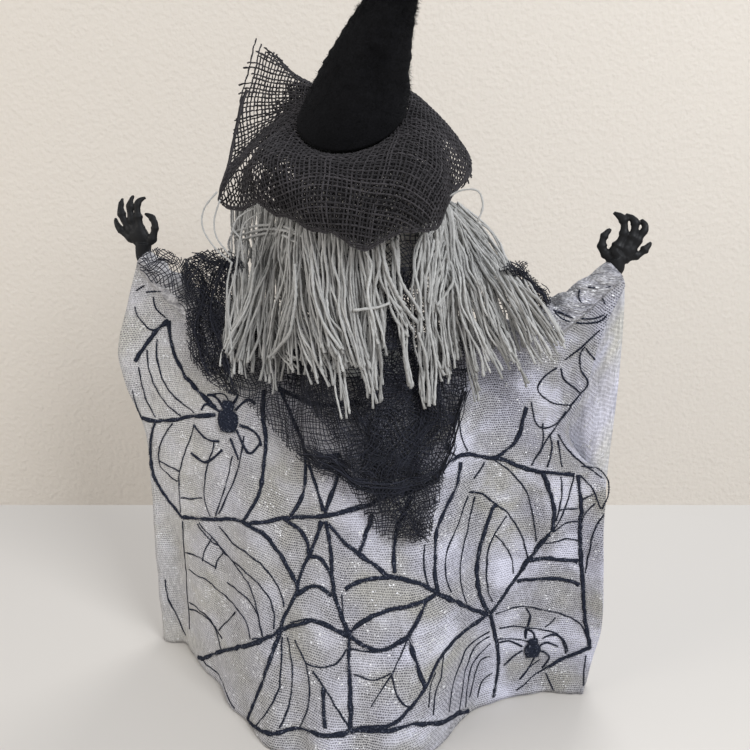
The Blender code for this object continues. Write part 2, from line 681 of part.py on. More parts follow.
def make_spider(name, place, body, reach):
    """Spider print: a round body with legs as short points."""
    middle = thread_points((place, (place[0] + 1, place[1])))[0]
    corners = []
    for i in range(SPIDER_LEGS * 2):
        angle = pi * (i + 0.5) / SPIDER_LEGS
        radius = (reach if i % 2 else body) * ACROSS
        corners.append(middle + Vector((cos(angle), sin(angle))) * radius)
    flat_print(name, [corners], SPIDER_OVER_ROBE, FLOCK)


def cape_point(share, fall):
    """A point of the cape: fall 0 at its upper edge and 1 at its lower edge."""
    x = mix(CAPE_TOP[0][0], CAPE_TOP[-1][0], share) * ACROSS
    top = ARM_HEIGHT + along(CAPE_TOP, x / ACROSS) * ACROSS
    bottom = ARM_HEIGHT + along(CAPE_BOTTOM, x / ACROSS) * ACROSS
    z = mix(top, bottom, fall)
    ruffle = CAPE_RUFFLE * (1 + sin(2 * pi * x / CAPE_RUFFLE_PITCH)) / 2
    return Vector((x, -cape_depth(x, z) - ruffle * fall, z))


def hair_radius(z):
    """Distance of the wig's inner surface from the head's axis."""
    below = (CROWN - HAIR_ROOT_BELOW_CROWN - z) / (HAIR_FULL_BELOW_CROWN - HAIR_ROOT_BELOW_CROWN)
    return mix(head_radius(z) + HAIR_ROOT_LIFT, HEAD_RADIUS + HAIR_OVER_HEAD, ease(below))


def on_cape(x, z):
    """Distance behind the arms of hair that lies on the cape."""
    return cape_depth(x, z) + CAPE_WALL / 2 + CAPE_RUFFLE + HAIR_OVER_CAPE


def back_hair_point(angle, z):
    """A point of the hair that hangs behind, by its angle at the root and its height."""
    full = CROWN - HAIR_FULL_BELOW_CROWN
    radius = hair_radius(max(z, full))
    below = max((full - z) / (full - ARM_HEIGHT + HAIR_END_LEVEL), 0)
    end = along(BACK_HAIR_SPREAD, degrees(angle)) * ACROSS
    x = mix(radius * sin(angle), end, below ** HAIR_FAN_POWER)
    depth = radius * cos(angle)
    depth = mix(depth, smooth_max(depth, on_cape(x, z)), ease(below * 3))
    return Vector((x, -depth, z))


def right_hair_point(share, z):
    """A point of the hair that fans out over the right shoulder."""
    (x0, y0), (x1, y1) = RIGHT_ROOTS
    root_height = CROWN - RIGHT_ROOT_BELOW_CROWN
    below = (root_height - z) / (root_height - ARM_HEIGHT + HAIR_END_LEVEL)
    x = mix(mix(x0, x1, share), mix(*RIGHT_ENDS, share), below)
    return Vector((x, -mix(-mix(y0, y1, share), on_cape(x, z), ease(below * 1.4)), z))


def side_hair_point(angle, z):
    """A point of the hair beside the face."""
    radius = hair_radius(z)
    return Vector((radius * sin(angle), -radius * cos(angle), z))


def surface_normal(point, place, z):
    """Unit vector square to the surface point(place, z), away from the head."""
    across = point(place + 0.01, z) - point(place - 0.01, z)
    downward = point(place, z - MM / 2) - point(place, z + MM / 2)
    return downward.cross(across).normalized()


def make_lock(name, point, first, last, top, bottom):
    """A lock of three strands on the surface point(place, z), between two places."""
    levels = [top - i * HAIR_ROW for i in range(ceil((top - bottom) / HAIR_ROW - 0.3))] + [bottom]
    sections = []
    for z in levels:
        left, right = point(first, z), point(last, z)
        gap = (right - left).normalized() * LOCK_GAP / 2
        left, right = left + gap, right - gap
        left_out, right_out = surface_normal(point, first, z), surface_normal(point, last, z)
        section = [left, right]
        for k in range(6, -1, -1):
            height = YARN_THICKNESS * (1 if k % 2 else 0.45)
            section.append(left.lerp(right, k / 6) + left_out.lerp(right_out, k / 6) * height)
        sections.append(section)
    loft(name, sections, YARN, smooth=False)


def lock_end(x, number):
    """Height of a lock's end, a little uneven from one lock to the next."""
    uneven = END_STAGGER * sin(number * 2.4)
    return ARM_HEIGHT + along(HAIR_ENDS, x / ACROSS) * ACROSS + uneven


def hang_locks(prefix, count, first, last, point, top, bottom):
    """Locks side by side from the first edge to the last."""
    for i in range(count):
        left, right = mix(first, last, i / count), mix(first, last, (i + 1) / count)
        make_lock(f"{prefix}_{i + 1:02d}", point, left, right, top, bottom(i, (left + right) / 2))


def make_wig():
    """The wig's locks behind, over the right shoulder and beside the face."""
    root = CROWN - HAIR_ROOT_BELOW_CROWN
    level = ARM_HEIGHT - HAIR_END_LEVEL
    hang_locks("hair_back", BACK_LOCKS, *BACK_HAIR_ANGLES, back_hair_point, root,
               lambda i, angle: lock_end(back_hair_point(angle, level).x, i))
    hang_locks("hair_right", RIGHT_LOCKS, 0, 1, right_hair_point, CROWN - RIGHT_ROOT_BELOW_CROWN,
               lambda i, share: lock_end(right_hair_point(share, level).x, i))
    for name, count, angles in (("hair_side_left", LEFT_SIDE_LOCKS, LEFT_SIDE_ANGLES),
                                ("hair_side_right", RIGHT_SIDE_LOCKS, RIGHT_SIDE_ANGLES)):
        hang_locks(name, count, *angles, side_hair_point, root, lambda i, angle: root - SIDE_HAIR_LENGTH)


def hat_frame(normal):
    """Two unit vectors square to a normal, the first as near to +X as can be."""
    first = (Vector((1, 0, 0)) - normal * normal.x).normalized()
    return first, normal.cross(first)


HAT_BASE = Vector((HAT_BASE_ACROSS, -HAT_BASE_BACK, CROWN + HAT_BASE_OVER_CROWN))
HAT_BASE_NORMAL = Vector((sin(HAT_TILT_SIDE), -sin(HAT_TILT_BACK), cos(HAT_TILT_BACK))).normalized()
HAT_LEAN = Vector((HAT_LEAN_RIGHT, -HAT_LEAN_BACK, HAT_RISE))


def hat_ring(share, turn):
    """A point round the felt cone, from its base at share 0 to its tip at 1."""
    axis = HAT_BASE_NORMAL.lerp(HAT_LEAN.normalized(), min(share * 2.5, 1)).normalized()
    first, second = hat_frame(axis)
    radius = mix(HAT_BASE_RADIUS, HAT_TIP_RADIUS, share ** 0.95)
    return HAT_BASE + HAT_LEAN * share + (first * cos(turn) + second * sin(turn)) * radius


def make_hat():
    """Stuffed felt cone that leans back and to the right."""
    sections = [[hat_ring(ring / HAT_RINGS, 2 * pi * i / HAT_SIDES) for i in range(HAT_SIDES)]
                for ring in range(HAT_RINGS + 1)]
    loft("hat_cone", sections, FELT)


def make_brim():
    """Sacking draped over the head under the hat, with the gaps of its open weave."""
    knots = [Vector((0, 0, CROWN)) + Vector(knot) * HEAD_UNIT for knot in BRIM_EDGE]
    edge = smooth_points(knots, MM, closed=True)
    middle = Vector((0, 0, CROWN + BRIM_OVER_HEAD + BRIM_WALL / 2))
    under_hat = BRIM_ROWS_UNDER_HAT / BRIM_ROWS

    def place(turn, out):
        rim = edge[round(turn * len(edge)) % len(edge)]
        heading = atan2(rim.y - HAT_BASE.y, rim.x - HAT_BASE.x)
        ring = hat_ring(0, heading) - HAT_BASE_NORMAL * (BRIM_WALL / 2 + CLEARANCE)
        if out <= under_hat:
            point = middle.lerp(ring, out / under_hat)
        else:
            t = (out - under_hat) / (1 - under_hat)
            outward = Vector((rim.x - ring.x, rim.y - ring.y, 0)).normalized()
            control = ring.lerp(rim, 0.4) + outward * BRIM_BULGE
            point = ring.lerp(control, t).lerp(control.lerp(rim, t), t)
        if point.x ** 2 + point.y ** 2 < HEAD_RADIUS ** 2:
            point.z = max(point.z, head_top(point.x, point.y) + BRIM_OVER_HEAD + BRIM_WALL / 2)
        return point

    def is_gap(turn, out):
        column, row = int(turn * BRIM_COLUMNS), int(out * BRIM_ROWS)
        return row > BRIM_ROWS_UNDER_HAT and row % 2 == 1 and column % 2 == 1

    sheet("hat_brim", BRIM_COLUMNS, BRIM_ROWS, place, BRIM_WALL, SACKING, is_gap)


def main():
    for old in list(bpy.data.objects):
        bpy.data.objects.remove(old)
    for collection in (parts, cutters):
        bpy.context.scene.collection.children.link(collection)
    make_body()
    make_neck_and_head()
    make_arm_wire()
    make_hand("hand_right", 1, RIGHT_PALM, RIGHT_FINGERS)
    make_hand("hand_left", -1, LEFT_PALM, LEFT_FINGERS)
    sheet("robe", ROBE_COLUMNS, BACK_ROWS + SLEEVE_ROWS + FRONT_ROWS, robe_point, ROBE_WALL, KNIT, is_neck)
    make_web()
    for name, spider in SPIDERS.items():
        make_spider(name, *spider)
    sheet("gauze_cape", CAPE_COLUMNS, CAPE_ROWS, cape_point, CAPE_WALL, GAUZE)
    make_wig()
    make_hat()
    make_brim()


main()
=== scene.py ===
"""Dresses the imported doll: knit robe with its flocked web, gauze cape, yarn hair, woven
sacking and felt hat, each as its own piece over the part it stands for.

Lengths are in millimetres until a mesh is made.
"""

from math import cos, pi, radians, sin, sqrt

import bpy
import numpy as np
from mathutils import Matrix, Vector


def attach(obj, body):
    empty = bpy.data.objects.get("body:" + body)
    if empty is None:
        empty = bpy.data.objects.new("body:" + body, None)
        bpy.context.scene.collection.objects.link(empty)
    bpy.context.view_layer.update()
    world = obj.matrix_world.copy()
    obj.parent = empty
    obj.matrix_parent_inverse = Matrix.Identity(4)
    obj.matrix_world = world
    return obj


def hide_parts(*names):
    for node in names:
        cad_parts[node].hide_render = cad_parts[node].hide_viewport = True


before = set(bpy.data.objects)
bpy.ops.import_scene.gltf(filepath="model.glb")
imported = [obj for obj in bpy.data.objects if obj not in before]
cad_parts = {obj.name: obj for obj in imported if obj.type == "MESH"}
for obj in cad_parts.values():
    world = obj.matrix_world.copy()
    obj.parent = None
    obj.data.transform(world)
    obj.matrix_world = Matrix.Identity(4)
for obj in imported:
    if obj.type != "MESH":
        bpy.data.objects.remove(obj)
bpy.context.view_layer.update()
MM = 0.001

# Camera of the photograph
FOCAL, PHOTO_MIDDLE = 750.0, 375
PITCH, TURN = radians(15), radians(11)
CAMERA = np.array((66.2, -320.0, 240.0))
NEAREST, FARTHEST = -95.0, 40.0


def ray(px, py):
    """Direction of the sight line through a pixel."""
    x, y = (px - PHOTO_MIDDLE) / FOCAL, (PHOTO_MIDDLE - py) / FOCAL
    forward, up = cos(PITCH) + y * sin(PITCH), -sin(PITCH) + y * cos(PITCH)
    return np.array((x * cos(TURN) - forward * sin(TURN), x * sin(TURN) + forward * cos(TURN), up))


def seen(pixels, depth):
    """Points where sight lines meet the surface y = -depth(x, z)."""
    found = []
    for px, py in pixels:
        heading = ray(px, py)
        y = np.arange(NEAREST, FARTHEST, 1.0)
        travel = (y - CAMERA[1]) / heading[1]
        x, z = CAMERA[0] + heading[0] * travel, CAMERA[2] + heading[2] * travel
        gap = y + depth(x, z)
        crossing = np.nonzero((gap[:-1] < 0) & (gap[1:] >= 0))[0]
        if len(crossing):
            i = crossing[0]
            share = -gap[i] / (gap[i + 1] - gap[i])
            travel = (y[i] + share - CAMERA[1]) / heading[1]
        else:
            travel = (0 - CAMERA[1]) / heading[1]
        found.append(CAMERA + heading * travel)
    return np.array(found)


def at_depth(px, py, y):
    """Point of a pixel's sight line at one depth."""
    heading = ray(px, py)
    return CAMERA + heading * (y - CAMERA[1]) / heading[1]


# Sizes, as in the part
BODY_HEIGHT, BODY_BASE, BODY_TOP = 183.0, 55.0, 18.0
ARM_SPAN, ARM_HEIGHT, WRIST_RISE = 208.0, 165.0, 38.0
HALF_SPAN = ARM_SPAN / 2
ARM_CURVE = ((0, 0), (12, 0), (24, 0), (42, 5), (60, 7.5), (75, 13), (90, 24), (104, 38))
SLEEVE_RADIUS, WRIST_RADIUS, SLEEVE_TAPER = 6.5, 4.1, 22.0
SLEEVE_SEAM = radians(150)
NECK_HALF_WIDTH = 25.0
PANEL_DEPTH_AT_ARM, HEM_LIFT, ROBE_OFF_BODY = 2.0, 0.7, 2.2
CAPE_LIFT = 3.4
KNIT_ROW, KNIT_COLUMN, MUSLIN_PITCH = 1.04, 0.94, 0.7
LEFT_OVERHANG = ((0, 6.5), (0.27, 6), (0.5, 6.5), (1.11, 6.5), (1.2, 5), (1.27, 3))
RIGHT_OVERHANG = ((0, 3), (0.1, 5), (0.22, 8), (0.35, 7), (0.5, 5), (0.68, 4), (0.9, 5), (1.18, 4),
                  (1.24, 0))
LEFT_BELLY = ((0.7, 0), (0.81, 5.5), (0.93, 10.5), (0.99, 9.5), (1.11, 3.5), (1.21, 0))
RIGHT_NOTCH = ((0, 2), (0.51, 1), (0.68, 2), (0.73, 12), (0.81, 19), (0.91, 14), (1.08, 8), (1.19, 0))
EDGE_SHARPNESS = 8
BACK_HEM = ((0, -3), (0.065, 1), (0.113, 10.8), (0.206, 29.4), (0.3, 50), (0.371, 61), (0.548, 70),
            (0.66, 62), (0.708, 47), (0.746, 27), (0.807, 14.6), (0.891, 4.7), (1, 0.5))
FRONT_HEM = ((0, 7), (0.08, 12), (0.2, 34), (0.35, 58), (0.5, 66), (0.65, 58), (0.8, 34), (0.92, 13),
             (1, 7))
HEAD_RADIUS, HEAD_HALF_HEIGHT = 30.0, 38.0
HEAD_HEIGHT = BODY_HEIGHT + 0.3 + HEAD_HALF_HEIGHT
CROWN = HEAD_HEIGHT + HEAD_HALF_HEIGHT
CAPE_TOP = ((-80, 39), (-60, 44), (-45, 30), (-25, 19), (0, 15), (25, 19), (45, 22), (60, 40), (78, 28))
CAPE_BOTTOM = ((-80, -7), (-70, -17), (-56, -23), (-42, -33), (-27, -43), (-8, -49), (1, -51), (10, -68),
               (22, -73), (36, -68), (39.5, -42), (43, -25), (49, 1), (62, 19), (78, 20))
BRIM_FRONT = ((8, 44, 3), (-22, 36, 13))
HAT_BASE = np.array((-3.0, -13.0, CROWN + 4.2))
HAT_RADIUS, HAT_TIP_RADIUS = 22.5, 2.2
HAT_TILT_BACK, HAT_TILT_SIDE = radians(44), radians(-4)
HAT_LEAN = np.array((37.0, -45.0, 63.0))
OUT_OF_REACH = -30.0


# Shapes
def along(table, place):
    """Values on the smooth curve through a table's points."""
    xs, ys = np.array(table, float).T
    slopes = np.empty_like(ys)
    slopes[1:-1] = (ys[2:] - ys[:-2]) / (xs[2:] - xs[:-2])
    slopes[0], slopes[-1] = (ys[1] - ys[0]) / (xs[1] - xs[0]), (ys[-1] - ys[-2]) / (xs[-1] - xs[-2])
    place = np.clip(place, xs[0], xs[-1])
    i = np.clip(np.searchsorted(xs, place, side="right") - 1, 0, len(xs) - 2)
    h = xs[i + 1] - xs[i]
    t = (place - xs[i]) / h
    ends = ys[i] * (1 + 2 * t) * (1 - t) ** 2 + ys[i + 1] * t * t * (3 - 2 * t)
    return ends + slopes[i] * h * t * (1 - t) ** 2 + slopes[i + 1] * h * t * t * (t - 1)


def mix(a, b, t):
    return a + (b - a) * t


def smooth_max(a, b, softness=3.0):
    return (a + b + np.sqrt((a - b) ** 2 + softness ** 2)) / 2


def ease(t):
    t = np.clip(t, 0, 1)
    return t * t * (3 - 2 * t)


def ripple(x, z, size, seed, waves=6):
    """Smooth uneven field of about one unit high, with bumps of a size."""
    dice = np.random.default_rng(seed)
    total = 0
    for _ in range(waves):
        angle, phase = dice.uniform(0, 2 * pi, 2)
        scale = 2 * pi / (size * dice.uniform(0.7, 1.5))
        total = total + np.sin((x * cos(angle) + z * sin(angle)) * scale + phase)
    return total / sqrt(waves)


def curve_through(points, step, closed=False):
    """Points about a step apart on the smooth curve through the given ones."""
    points = np.array(points, float)
    count = len(points)
    spans = count if closed else count - 1
    result = []
    for i in range(spans):
        take = [(i + k) % count if closed else min(max(i + k, 0), count - 1) for k in (-1, 0, 1, 2)]
        p0, p1, p2, p3 = points[take]
        pieces = max(1, round(float(np.linalg.norm(p2 - p1)) / step))
        t = (np.arange(pieces) / pieces)[:, None]
        result.append(0.5 * (2 * p1 + (p2 - p0) * t + (2 * p0 - 5 * p1 + 4 * p2 - p3) * t * t
                             + (3 * p1 - p0 - 3 * p2 + p3) * t ** 3))
    if not closed:
        result.append(points[-1:])
    return np.concatenate(result)


def unit(v):
    return v / np.maximum(np.linalg.norm(v, axis=-1, keepdims=True), 1e-9)


def runs(kept):
    """First and past-last places of each unbroken stretch of true values."""
    changes = np.diff(np.concatenate(((0,), kept.astype(int), (0,))))
    return np.flatnonzero(changes).reshape(-1, 2)


def uneven(count, seed, amount):
    """Widths that wander about one."""
    dice = np.random.default_rng(seed)
    rough = dice.normal(0, 1, count + 8)
    kernel = np.array((1, 2, 3, 2, 1)) / 9
    return 1 + amount * np.convolve(rough, kernel, "same")[4:-4]


def section(x, reach):
    """Half depth of a round body at x, and straight lines beyond its reach."""
    return np.where(np.abs(x) < reach, np.sqrt(np.maximum(reach ** 2 - x * x, 0)), reach - np.abs(x))


def body_radius(z):
    return mix(BODY_BASE, BODY_TOP, np.clip(z / BODY_HEIGHT, 0, 1))


def arm_height(x):
    return ARM_HEIGHT + along(ARM_CURVE, np.abs(x))


def panel_across(share, z, drawn=True):
    level = z / ARM_HEIGHT
    left, right = -HALF_SPAN - along(LEFT_OVERHANG, level), HALF_SPAN + along(RIGHT_OVERHANG, level)
    x = mix(left, right, share)
    if drawn:
        x = x - along(LEFT_BELLY, level) * (1 - share) ** EDGE_SHARPNESS
        x = x - along(RIGHT_NOTCH, level) * share ** EDGE_SHARPNESS
    return x


ROBE_LEFT, ROBE_RIGHT = (panel_across(np.array(edge), np.array(0.0)) for edge in (0.0, 1.0))


def robe_depth(x, z, hem=BACK_HEM):
    """Distance of a panel behind (or before) the arms, with its soft folds."""
    level = np.clip(z / ARM_HEIGHT, 0, 1)
    share = np.clip((x - ROBE_LEFT) / (ROBE_RIGHT - ROBE_LEFT), 0, 1)
    hanging = mix(PANEL_DEPTH_AT_ARM, along(hem, share), (1 - level) ** 0.9)
    body = section(x, body_radius(z) + ROBE_OFF_BODY)
    smooth = smooth_max(hanging, body)
    loose = ease((smooth - body) / 6) * ease((ARM_HEIGHT + 8 - z) / 25)
    folds = 1.3 * ripple(x * 1.6, z * 0.5, 34, 3) + 0.5 * ripple(x, z, 15, 4) + 0.16 * ripple(x, z, 6, 5)
    crease = 1.6 * np.exp(-((x + 92) / 3.5) ** 2) * ease((95 - z) / 20)
    return smooth + loose * (folds + crease)


def robe_normals(x, z, depth=robe_depth):
    step = 0.5
    across = (depth(x + step, z) - depth(x - step, z)) / (2 * step)
    up = (depth(x, z + step) - depth(x, z - step)) / (2 * step)
    return unit(np.stack((-across, -np.ones_like(across), -up), -1))


def cape_depth(x, z):
    lift = CAPE_LIFT / np.maximum(-robe_normals(x, z)[..., 1], 0.4)
    return smooth_max(robe_depth(x, z) + lift, SLEEVE_RADIUS + CAPE_LIFT)


def head_radius(z):
    return HEAD_RADIUS * np.sqrt(np.maximum(1 - ((z - HEAD_HEIGHT) / HEAD_HALF_HEIGHT) ** 2, 0))


def hair_radius(z):
    return mix(head_radius(z) + 0.4, HEAD_RADIUS + 6.5, ease((CROWN - 17 - z) / 27))


def hair_depth(x, z):
    """Distance of the hair's lowest layer behind the arms."""
    crown = np.clip((CROWN - 10 - z) / 30, 0, 1)
    reach = mix(24.0, HEAD_RADIUS + 6.0, ease(crown))
    lying = np.where(z < 222, cape_depth(x, np.minimum(z, 215)) + 1.6, OUT_OF_REACH)
    lying = mix(lying, OUT_OF_REACH, ease((z - 196) / 24))
    return smooth_max(section(x, reach), lying, 5.0)


# Meshes
class Pile:
    """Points and faces of many like forms, made into one mesh."""

    def __init__(self):
        self.points, self.quads, self.tris, self.marks, self.count = [], [], [], [], 0

    def add(self, points, quads=None, tris=None, marks=None):
        self.points.append(points)
        if quads is not None and len(quads):
            self.quads.append(quads + self.count)
        if tris is not None and len(tris):
            self.tris.append(tris + self.count)
        self.marks.append(np.zeros((len(points), 3)) if marks is None else marks)
        self.count += len(points)

    def thread(self, path, radii, sides, reference=(0, 1, 0), tone=None, **shape):
        """A closed tube, marked with its tone and the length along it."""
        points, quads, tris, run = tube(path, radii, sides, reference, **shape)
        marks = None if tone is None else np.stack((np.full(len(points), tone), run, run * 0), -1)
        self.add(points, quads, tris, marks)

    def fibres(self, root, side, tip, mark=0.0):
        """Thin triangles from a root to a tip."""
        corners = np.stack((root - side, root + side, tip), 1).reshape(-1, 3)
        self.add(corners, None, np.arange(len(corners)).reshape(-1, 3), np.full(corners.shape, mark))

    def make(self, name, paint, smooth=True):
        points = np.concatenate(self.points) * MM
        quads = np.concatenate(self.quads) if self.quads else np.zeros((0, 4), int)
        tris = np.concatenate(self.tris) if self.tris else np.zeros((0, 3), int)
        mesh = bpy.data.meshes.new(name)
        mesh.vertices.add(len(points))
        mesh.vertices.foreach_set("co", points.astype(np.float32).ravel())
        corners = np.concatenate((quads.ravel(), tris.ravel())).astype(np.int32)
        mesh.loops.add(len(corners))
        mesh.loops.foreach_set("vertex_index", corners)
        starts = np.concatenate((np.arange(len(quads)) * 4, quads.size + np.arange(len(tris)) * 3))
        mesh.polygons.add(len(starts))
        mesh.polygons.foreach_set("loop_start", starts.astype(np.int32))
        mesh.update(calc_edges=True)
        marks = mesh.attributes.new("mark", "FLOAT_VECTOR", "POINT")
        marks.data.foreach_set("vector", np.concatenate(self.marks).astype(np.float32).ravel())
        if smooth:
            mesh.shade_smooth()
        mesh.materials.append(paint)
        made = bpy.data.objects.new(name, mesh)
        bpy.context.scene.collection.objects.link(made)
        return made


def grid_faces(rows, columns, wrap=False):
    """Quads of a grid whose points run column by column within a row."""
    across = np.arange(columns if wrap else columns - 1)
    after = (across + 1) % columns
    down = np.arange(rows - 1)[:, None] * columns
    return np.stack((down + across, down + after, down + columns + after, down + columns + across),
                    -1).reshape(-1, 4)


def end_caps(rings, sides):
    """Triangles that close a stack of rings, whose two end points follow the rings' points."""
    k = np.arange(sides)
    after = (k + 1) % sides
    last_ring, first_end = (rings - 1) * sides, rings * sides
    return np.concatenate((np.stack((after, k, np.full(sides, first_end)), -1),
                           np.stack((last_ring + k, last_ring + after, np.full(sides, first_end + 1)), -1)))


def tube(points, radii, sides, reference, lobes=0, twist=0.0, lobe_height=0.25, turn=0.0, flat=1.0):
    """Points, quads and triangles of a closed thread along points, and the run at each."""
    points = np.asarray(points, float)
    count = len(points)
    radii = np.broadcast_to(np.asarray(radii, float), (count,))
    tangents = unit(np.gradient(points, axis=0))
    reference = np.broadcast_to(np.asarray(reference, float), points.shape)
    side = unit(np.cross(tangents, reference))
    up = np.cross(side, tangents)
    run = np.concatenate(((0,), np.cumsum(np.linalg.norm(np.diff(points, axis=0), axis=1))))
    angles = np.arange(sides) * 2 * pi / sides
    spin = turn + run * twist
    around = angles[None, :] + spin[:, None] * 0
    lobed = 1 + lobe_height * np.cos(lobes * (around - spin[:, None])) if lobes else np.ones_like(around)
    radius = radii[:, None] * lobed
    rings = (points[:, None, :] + side[:, None, :] * (np.cos(around) * radius)[..., None]
             + up[:, None, :] * (np.sin(around) * radius * flat)[..., None])
    ends = np.stack((points[0], points[-1]))
    run_marks = np.concatenate((np.repeat(run, sides), (0, run[-1])))
    return (np.concatenate((rings.reshape(-1, 3), ends)), grid_faces(count, sides, wrap=True),
            end_caps(count, sides), run_marks)


def settle(piece, slot, *nodes):
    """Put a finished piece on the doll in place of its solids."""
    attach(piece, "root")
    if nodes:
        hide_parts(*nodes)
    return piece


# Materials
class Paint:
    """A material under construction, with short ways to add its nodes."""

    def __init__(self, name, colour=(0.5, 0.5, 0.5), roughness=0.8, metallic=0.0):
        self.material = bpy.data.materials.new(name)
        self.material.use_nodes = True
        self.nodes, self.links = self.material.node_tree.nodes, self.material.node_tree.links
        self.shader = self.nodes["Principled BSDF"]
        self.set("Base Color", (*colour, 1))
        self.set("Roughness", roughness)
        self.set("Metallic", metallic)

    def set(self, socket, value):
        self.shader.inputs[socket].default_value = value

    def node(self, kind, **choices):
        made = self.nodes.new("ShaderNode" + kind)
        for name, value in choices.items():
            setattr(made, name, value)
        return made

    def put(self, node, socket, value):
        if isinstance(value, bpy.types.NodeSocket):
            self.links.new(value, node.inputs[socket])
        else:
            node.inputs[socket].default_value = value
        return node

    def place(self):
        """Places on the piece in millimetres."""
        return self.stretch(self.node("TexCoord").outputs["Object"], (1 / MM,) * 3)

    def marks(self):
        """The marks that the mesh's points carry."""
        return self.stretch(self.node("Attribute", attribute_name="mark").outputs["Vector"], (1, 1, 1))

    def stretch(self, vector, factors):
        scaled = self.node("VectorMath", operation="MULTIPLY")
        self.put(scaled, 0, vector)
        self.put(scaled, 1, factors)
        return scaled.outputs[0]

    def split(self, vector):
        return self.put(self.node("SeparateXYZ"), 0, vector).outputs

    def math(self, operation, a, b=0.0, c=0.0, clamp=False):
        made = self.node("Math", operation=operation, use_clamp=clamp)
        for index, value in enumerate((a, b, c)):
            self.put(made, index, value)
        return made.outputs[0]

    def times(self, a, b):
        return self.math("MULTIPLY", a, b)

    def plus(self, a, b, clamp=False):
        return self.math("ADD", a, b, clamp=clamp)

    def minus(self, a, b):
        return self.math("SUBTRACT", a, b)

    def noise(self, vector, size, detail=3.0, rough=0.5):
        made = self.node("TexNoise")
        self.put(made, "Vector", vector)
        self.put(made, "Scale", 1 / size)
        self.put(made, "Detail", detail)
        self.put(made, "Roughness", rough)
        return made.outputs["Fac"]

    def cells(self, vector, size):
        made = self.node("TexVoronoi")
        self.put(made, "Vector", vector)
        self.put(made, "Scale", 1 / size)
        return made.outputs

    def ramp(self, value, low, high, to_low=0.0, to_high=1.0):
        made = self.node("MapRange")
        for socket, amount in (("Value", value), ("From Min", low), ("From Max", high),
                               ("To Min", to_low), ("To Max", to_high)):
            self.put(made, socket, amount)
        return made.outputs[0]

    def blend(self, share, first, second):
        made = self.node("Mix", data_type="RGBA")
        self.put(made, 0, share)
        for index, value in ((6, first), (7, second)):
            self.put(made, index, (*value, 1) if isinstance(value, tuple) and len(value) == 3 else value)
        return made.outputs[2]

    def bump(self, height, distance, strength=1.0):
        made = self.node("Bump")
        self.put(made, "Height", height)
        self.put(made, "Distance", distance * MM)
        self.put(made, "Strength", strength)
        self.links.new(made.outputs[0], self.shader.inputs["Normal"])

    def to(self, socket, value):
        self.links.new(value, self.shader.inputs[socket])


